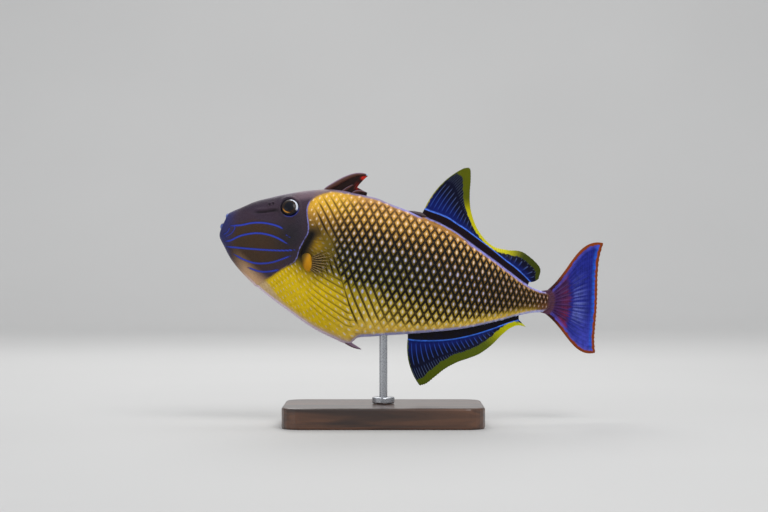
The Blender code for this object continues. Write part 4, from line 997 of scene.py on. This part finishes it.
near_root = sums(tree, "MULTIPLY", near_root, ramp(tree, far_out, 0.6, 0.95, 1.0, 0.0))
veil = sums(tree, "MULTIPLY", film, near_root)
veil = sums(tree, "MULTIPLY", veil, ramp(tree, fan_crest, 0.0, 1.0, 0.6, 1.0))
tree.links.new(veil, shader.inputs["Alpha"])
LOBE_AT = (58.2, -13.5)
lobe_place = body_point(*spot_on_skin(*LOBE_AT, 4.0, 60, 14))[0]
for side, word in ((-1, "left"), (1, "right")):
    ball, unit = unit_ball(48, 32)
    turn = np.array(Matrix.Rotation(math.radians(-18.0), 3, "Y"))
    centre = (lobe_place + np.array((0.0, 0.6, 0.0))) * (1, side, 1)
    blunt = 3.2 + 0.3 * unit[:, 2:] + 1.1 * np.clip(unit[:, 2:], 0, 1) ** 3
    plump = (blunt, 2.6 + 0 * unit[:, 2:], 5.8 + 0 * unit[:, 2:])
    lobe = moulded(ball, "pectoral_lobe_" + word, centre + (unit * np.hstack(plump)) @ turn.T)
    marked(lobe, shaded=0.9 * unit[:, 2] - 0.8 * unit[:, 0] - 0.2)
    lobe.data.materials.append(lobe_paint)
    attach(lobe, "root")
    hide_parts("pectoral_base_" + word)
    columns, rows = 9 * 12 + 1, 26
    share = np.linspace(0, 1, columns)
    angles = np.radians(42 - 86 * share)
    length = smooth_through((0, 0.35, 0.7, 1.0), (17.5, 22.0, 19.0, 12.5), share)
    out = blade_rows(rows)
    crest = ray_crests(share * 9, out, 0.75)
    reach = 2.4 + out * (length * np.cos(angles))[:, None]
    rise = np.linspace(4.0, -4.2, columns)[:, None] + out * (length * np.sin(angles) * 0.75)[:, None]
    away = 1.1 + 0.25 * reach + 0.8 * out**2
    centre = np.stack([lobe_place[0] + reach, side * (lobe_place[1] + away), lobe_place[2] + rise], axis=2)
    half = ((0.13 - 0.05 * out) + crest * (0.24 - 0.14 * out)) * round_edge(out**40)
    far_out = np.broadcast_to(out, half.shape)
    fan = fin_sheet("pectoral_fan_" + word, centre, half, crest=crest, far_out=far_out)
    fan.data.materials.append(fan_paint)
    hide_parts("pectoral_fin_" + word)

# First dorsal fin. A stout locking spine laid half back, two short spines behind it and the brown skin
# between, with a scarlet patch under the tip. Below the belly, a short rough pelvic spine.
spine_paint, tree, shader = paint("spine_paint", 0.5)
rough = grain(tree, "Noise", 700.0, Detail=5.0)
base = mixed(tree, rough, rgb(56, 22, 14), rgb(98, 50, 34))
base = laid(tree, base, (126, 100, 122), kept(tree, "upper"), 0.45, 0.85)
base = laid(tree, base, (176, 204, 236), kept(tree, "tip"), 0.90, 0.97)
finished(tree, shader, base, grain(tree, "Voronoi", 1500.0), 0.0002)
SPINES = (
    ("locking_spine",
     ((60.0, 28.5), (62.8, 32.6), (67.4, 36.6), (73.1, 41.0), (79.0, 44.4), (84.0, 45.6), (87.6, 45.7)),
     (1.7, 1.8, 1.7, 1.5, 1.25, 0.95, 0.45), "first_dorsal_spine"),
    ("second_spine", ((70.0, 29.0), (73.6, 33.4), (76.8, 36.4), (80.0, 38.9)), (1.1, 1.0, 0.8, 0.5), None),
    ("third_spine", ((77.0, 29.5), (80.5, 33.6), (84.4, 34.9), (88.0, 34.4)), (1.1, 1.0, 0.8, 0.5), None),
    ("pelvic_stub", ((84.5, -57.4), (89.0, -59.6), (94.0, -61.4), (98.4, -62.6)), (1.2, 1.3, 1.1, 0.5),
     "pelvic_spine"),
)
for name, line, radii, node in SPINES:
    spine, share, turn = bar(name, [(x, 0.0, z) for x, z in line], radii, (0.0, 1.0, 0.0), 1.0, 20, 48)
    greyed = 1.0 if name == "pelvic_stub" else 0.0
    tip = share if name == "locking_spine" else share * 0
    marked(spine, upper=np.cos(turn) + 0.2 * share + greyed, tip=tip)
    spine.data.materials.append(spine_paint)
    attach(spine, "root")
    if node:
        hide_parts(node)
web_paint, tree, shader = paint("web_paint", 0.45, Specular_IOR_Level=0.2)
base = mottled(tree, 520.0, 4.0, (16, 4, 3), (38, 10, 6))
base = laid(tree, base, (206, 36, 18), kept(tree, "scarlet"), 0.1, 0.6)
base = laid(tree, base, (34, 12, 8), kept(tree, "crest"), 0.3, 0.9, 0.0, 0.5)
finished(tree, shader, base, grain(tree, "Noise", 1500.0, Detail=3.0), 0.0001)
for name, low_line, high_line, node in (
    ("spine_web", ((61.0, 28.0), (68.0, 29.0), (75.0, 30.0), (80.0, 31.0)),
     ((62.8, 32.4), (73.1, 40.8), (84.0, 45.0), (87.4, 44.9)), "first_dorsal_web"),
    ("small_web", ((76.0, 29.0), (80.0, 29.0), (84.0, 29.0), (88.0, 29.0)),
     ((78.6, 37.6), (82.0, 36.9), (85.5, 35.6), (88.4, 34.6)), None),
):
    columns, rows = 41, 24
    low_edge, high_edge = drawn(low_line, columns), drawn(high_line, columns)
    out = blade_rows(rows)
    flat = low_edge[:, None] + (high_edge - low_edge)[:, None] * out[None, :, None]
    if node:
        notch = step(np.linspace(0, 1, columns), 0.55, 1.0)
        flat[:, :, 0] += (notch[:, None] * 4 * out * (1 - out)) * -1.4
    centre = stood_up(flat)
    ribs = 0.5 + 0.5 * np.cos(np.linspace(0, 6 * math.tau, columns))
    crest = np.broadcast_to(ribs[:, None], flat.shape[:2])
    half = (0.36 + 0.06 * crest) * round_edge(out**30)
    side_view = np.moveaxis(flat, -1, 0)
    under_tip = patch(*side_view, (86.0, 43.2), (2.6, 1.3))
    lower_patch = patch(*side_view, (82.0, 37.4), (2.6, 3.6))
    scarlet = under_tip + 0.5 * lower_patch * (0.3 + 0.7 * crest)
    web = fin_sheet(name, centre, half, crest=crest, scarlet=scarlet)
    web.data.materials.append(web_paint)
    if node:
        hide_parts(node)

# Stand. A dark walnut block with rounded corners, a turned steel collar and one plain steel rod
# that goes up into the belly. They keep the shapes they were cut to.
wood_paint, tree, shader = paint("wood_paint", 0.32, Coat_Weight=0.35, Coat_Roughness=0.15)
place = tree.nodes.new("ShaderNodeTexCoord")
stretch = tree.nodes.new("ShaderNodeMapping")
stretch.inputs["Scale"].default_value = (14.0, 150.0, 150.0)
tree.links.new(place.outputs["Object"], stretch.inputs["Vector"])
figure = tree.nodes.new("ShaderNodeTexNoise")
figure.inputs["Scale"].default_value = 1.0
figure.inputs["Detail"].default_value = 6.0
figure.inputs["Distortion"].default_value = 0.6
tree.links.new(stretch.outputs["Vector"], figure.inputs["Vector"])
base = mixed(tree, ramp(tree, figure.outputs["Fac"], 0.3, 0.7), rgb(44, 26, 18), rgb(98, 62, 40))
finished(tree, shader, base, figure.outputs["Fac"], 0.0001)
steel_paint, tree, shader = paint("steel_paint", 0.28, Metallic=1.0)
brushed = grain(tree, "Noise", 900.0, Detail=4.0)
finished(tree, shader, mixed(tree, brushed, rgb(150, 152, 156), rgb(196, 198, 202)))
tree.links.new(ramp(tree, brushed, 0.2, 0.8, 0.2, 0.38), shader.inputs["Roughness"])
for node, finish, slot in (
    ("stand_base", wood_paint, "base_wood"), ("stand_collar", steel_paint, "rod_steel"),
    ("stand_rod", steel_paint, "rod_steel"),
):
    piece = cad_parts[node]
    piece.data.materials.clear()
    piece.data.materials.append(finish)

# Studio. A pale floor that curves up behind, soft light from above and both sides, and the camera
# level with the fish, looking at its left side.
floor = added(bpy.ops.mesh.primitive_plane_add, size=1.0)
floor.name = "studio_floor"
floor.scale = (26.0, 15.4, 1.0)
floor.location = (0.0, -5.3, 0.0)
bpy.ops.object.transform_apply(location=True, rotation=True, scale=True)
bpy.ops.object.mode_set(mode="EDIT")
bpy.ops.mesh.select_all(action="DESELECT")
bpy.ops.object.mode_set(mode="OBJECT")
for edge in floor.data.edges:
    edge.select = all(floor.data.vertices[corner].co.y > 2.0 for corner in edge.vertices)
bpy.ops.object.mode_set(mode="EDIT")
bpy.ops.mesh.extrude_region_move(TRANSFORM_OT_translate={"value": (0.0, 0.0, 3.0)})
bpy.ops.object.mode_set(mode="OBJECT")
sweep = floor.modifiers.new("sweep", "BEVEL")
sweep.width = 0.9
sweep.segments = 16
sweep.limit_method = "ANGLE"
bpy.ops.object.modifier_apply(modifier="sweep")
floor.data.shade_smooth()
floor_paint, tree, shader = paint("floor_paint", 0.7)
finished(tree, shader, mottled(tree, 3.0, 2.0, (196, 195, 193), (202, 201, 199)))
floor.data.materials.append(floor_paint)

world = bpy.context.scene.world or bpy.data.worlds.new("studio")
bpy.context.scene.world = world
world.use_nodes = True
world.node_tree.nodes["Background"].inputs["Color"].default_value = (0.92, 0.95, 1.0, 1.0)
world.node_tree.nodes["Background"].inputs["Strength"].default_value = 0.6


def light(name, place, aim, size, power, colour=(1.0, 1.0, 1.0)):
    bpy.ops.object.select_all(action="DESELECT")
    bpy.ops.object.light_add(type="AREA", location=place)
    lamp = bpy.context.active_object
    lamp.name = name
    lamp.data.size = size
    lamp.data.energy = power
    lamp.data.color = colour
    lamp.rotation_euler = (Vector(aim) - Vector(place)).to_track_quat("-Z", "Y").to_euler()


light("key_light", (0.35, -0.65, 0.95), (0.0, 0.0, 0.10), 0.5, 5.0)
light("fill_light", (-0.9, -0.7, 0.35), (0.0, 0.0, 0.10), 0.8, 1.2)
light("back_light", (-0.1, 0.8, 0.8), (0.0, 0.0, 0.10), 0.6, 3.0)
light("wall_light", (0.0, 0.9, 2.3), (0.0, 2.4, 0.5), 2.0, 24.0)

bpy.ops.object.select_all(action="DESELECT")
bpy.ops.object.camera_add(location=(0.0004, -1.2, 0.105), rotation=(math.pi / 2, 0.0, 0.0))
camera = bpy.context.active_object
camera.data.sensor_width = 36.0
camera.data.lens = 90.3
bpy.context.scene.camera = camera
bpy.context.scene.view_settings.view_transform = "Standard"
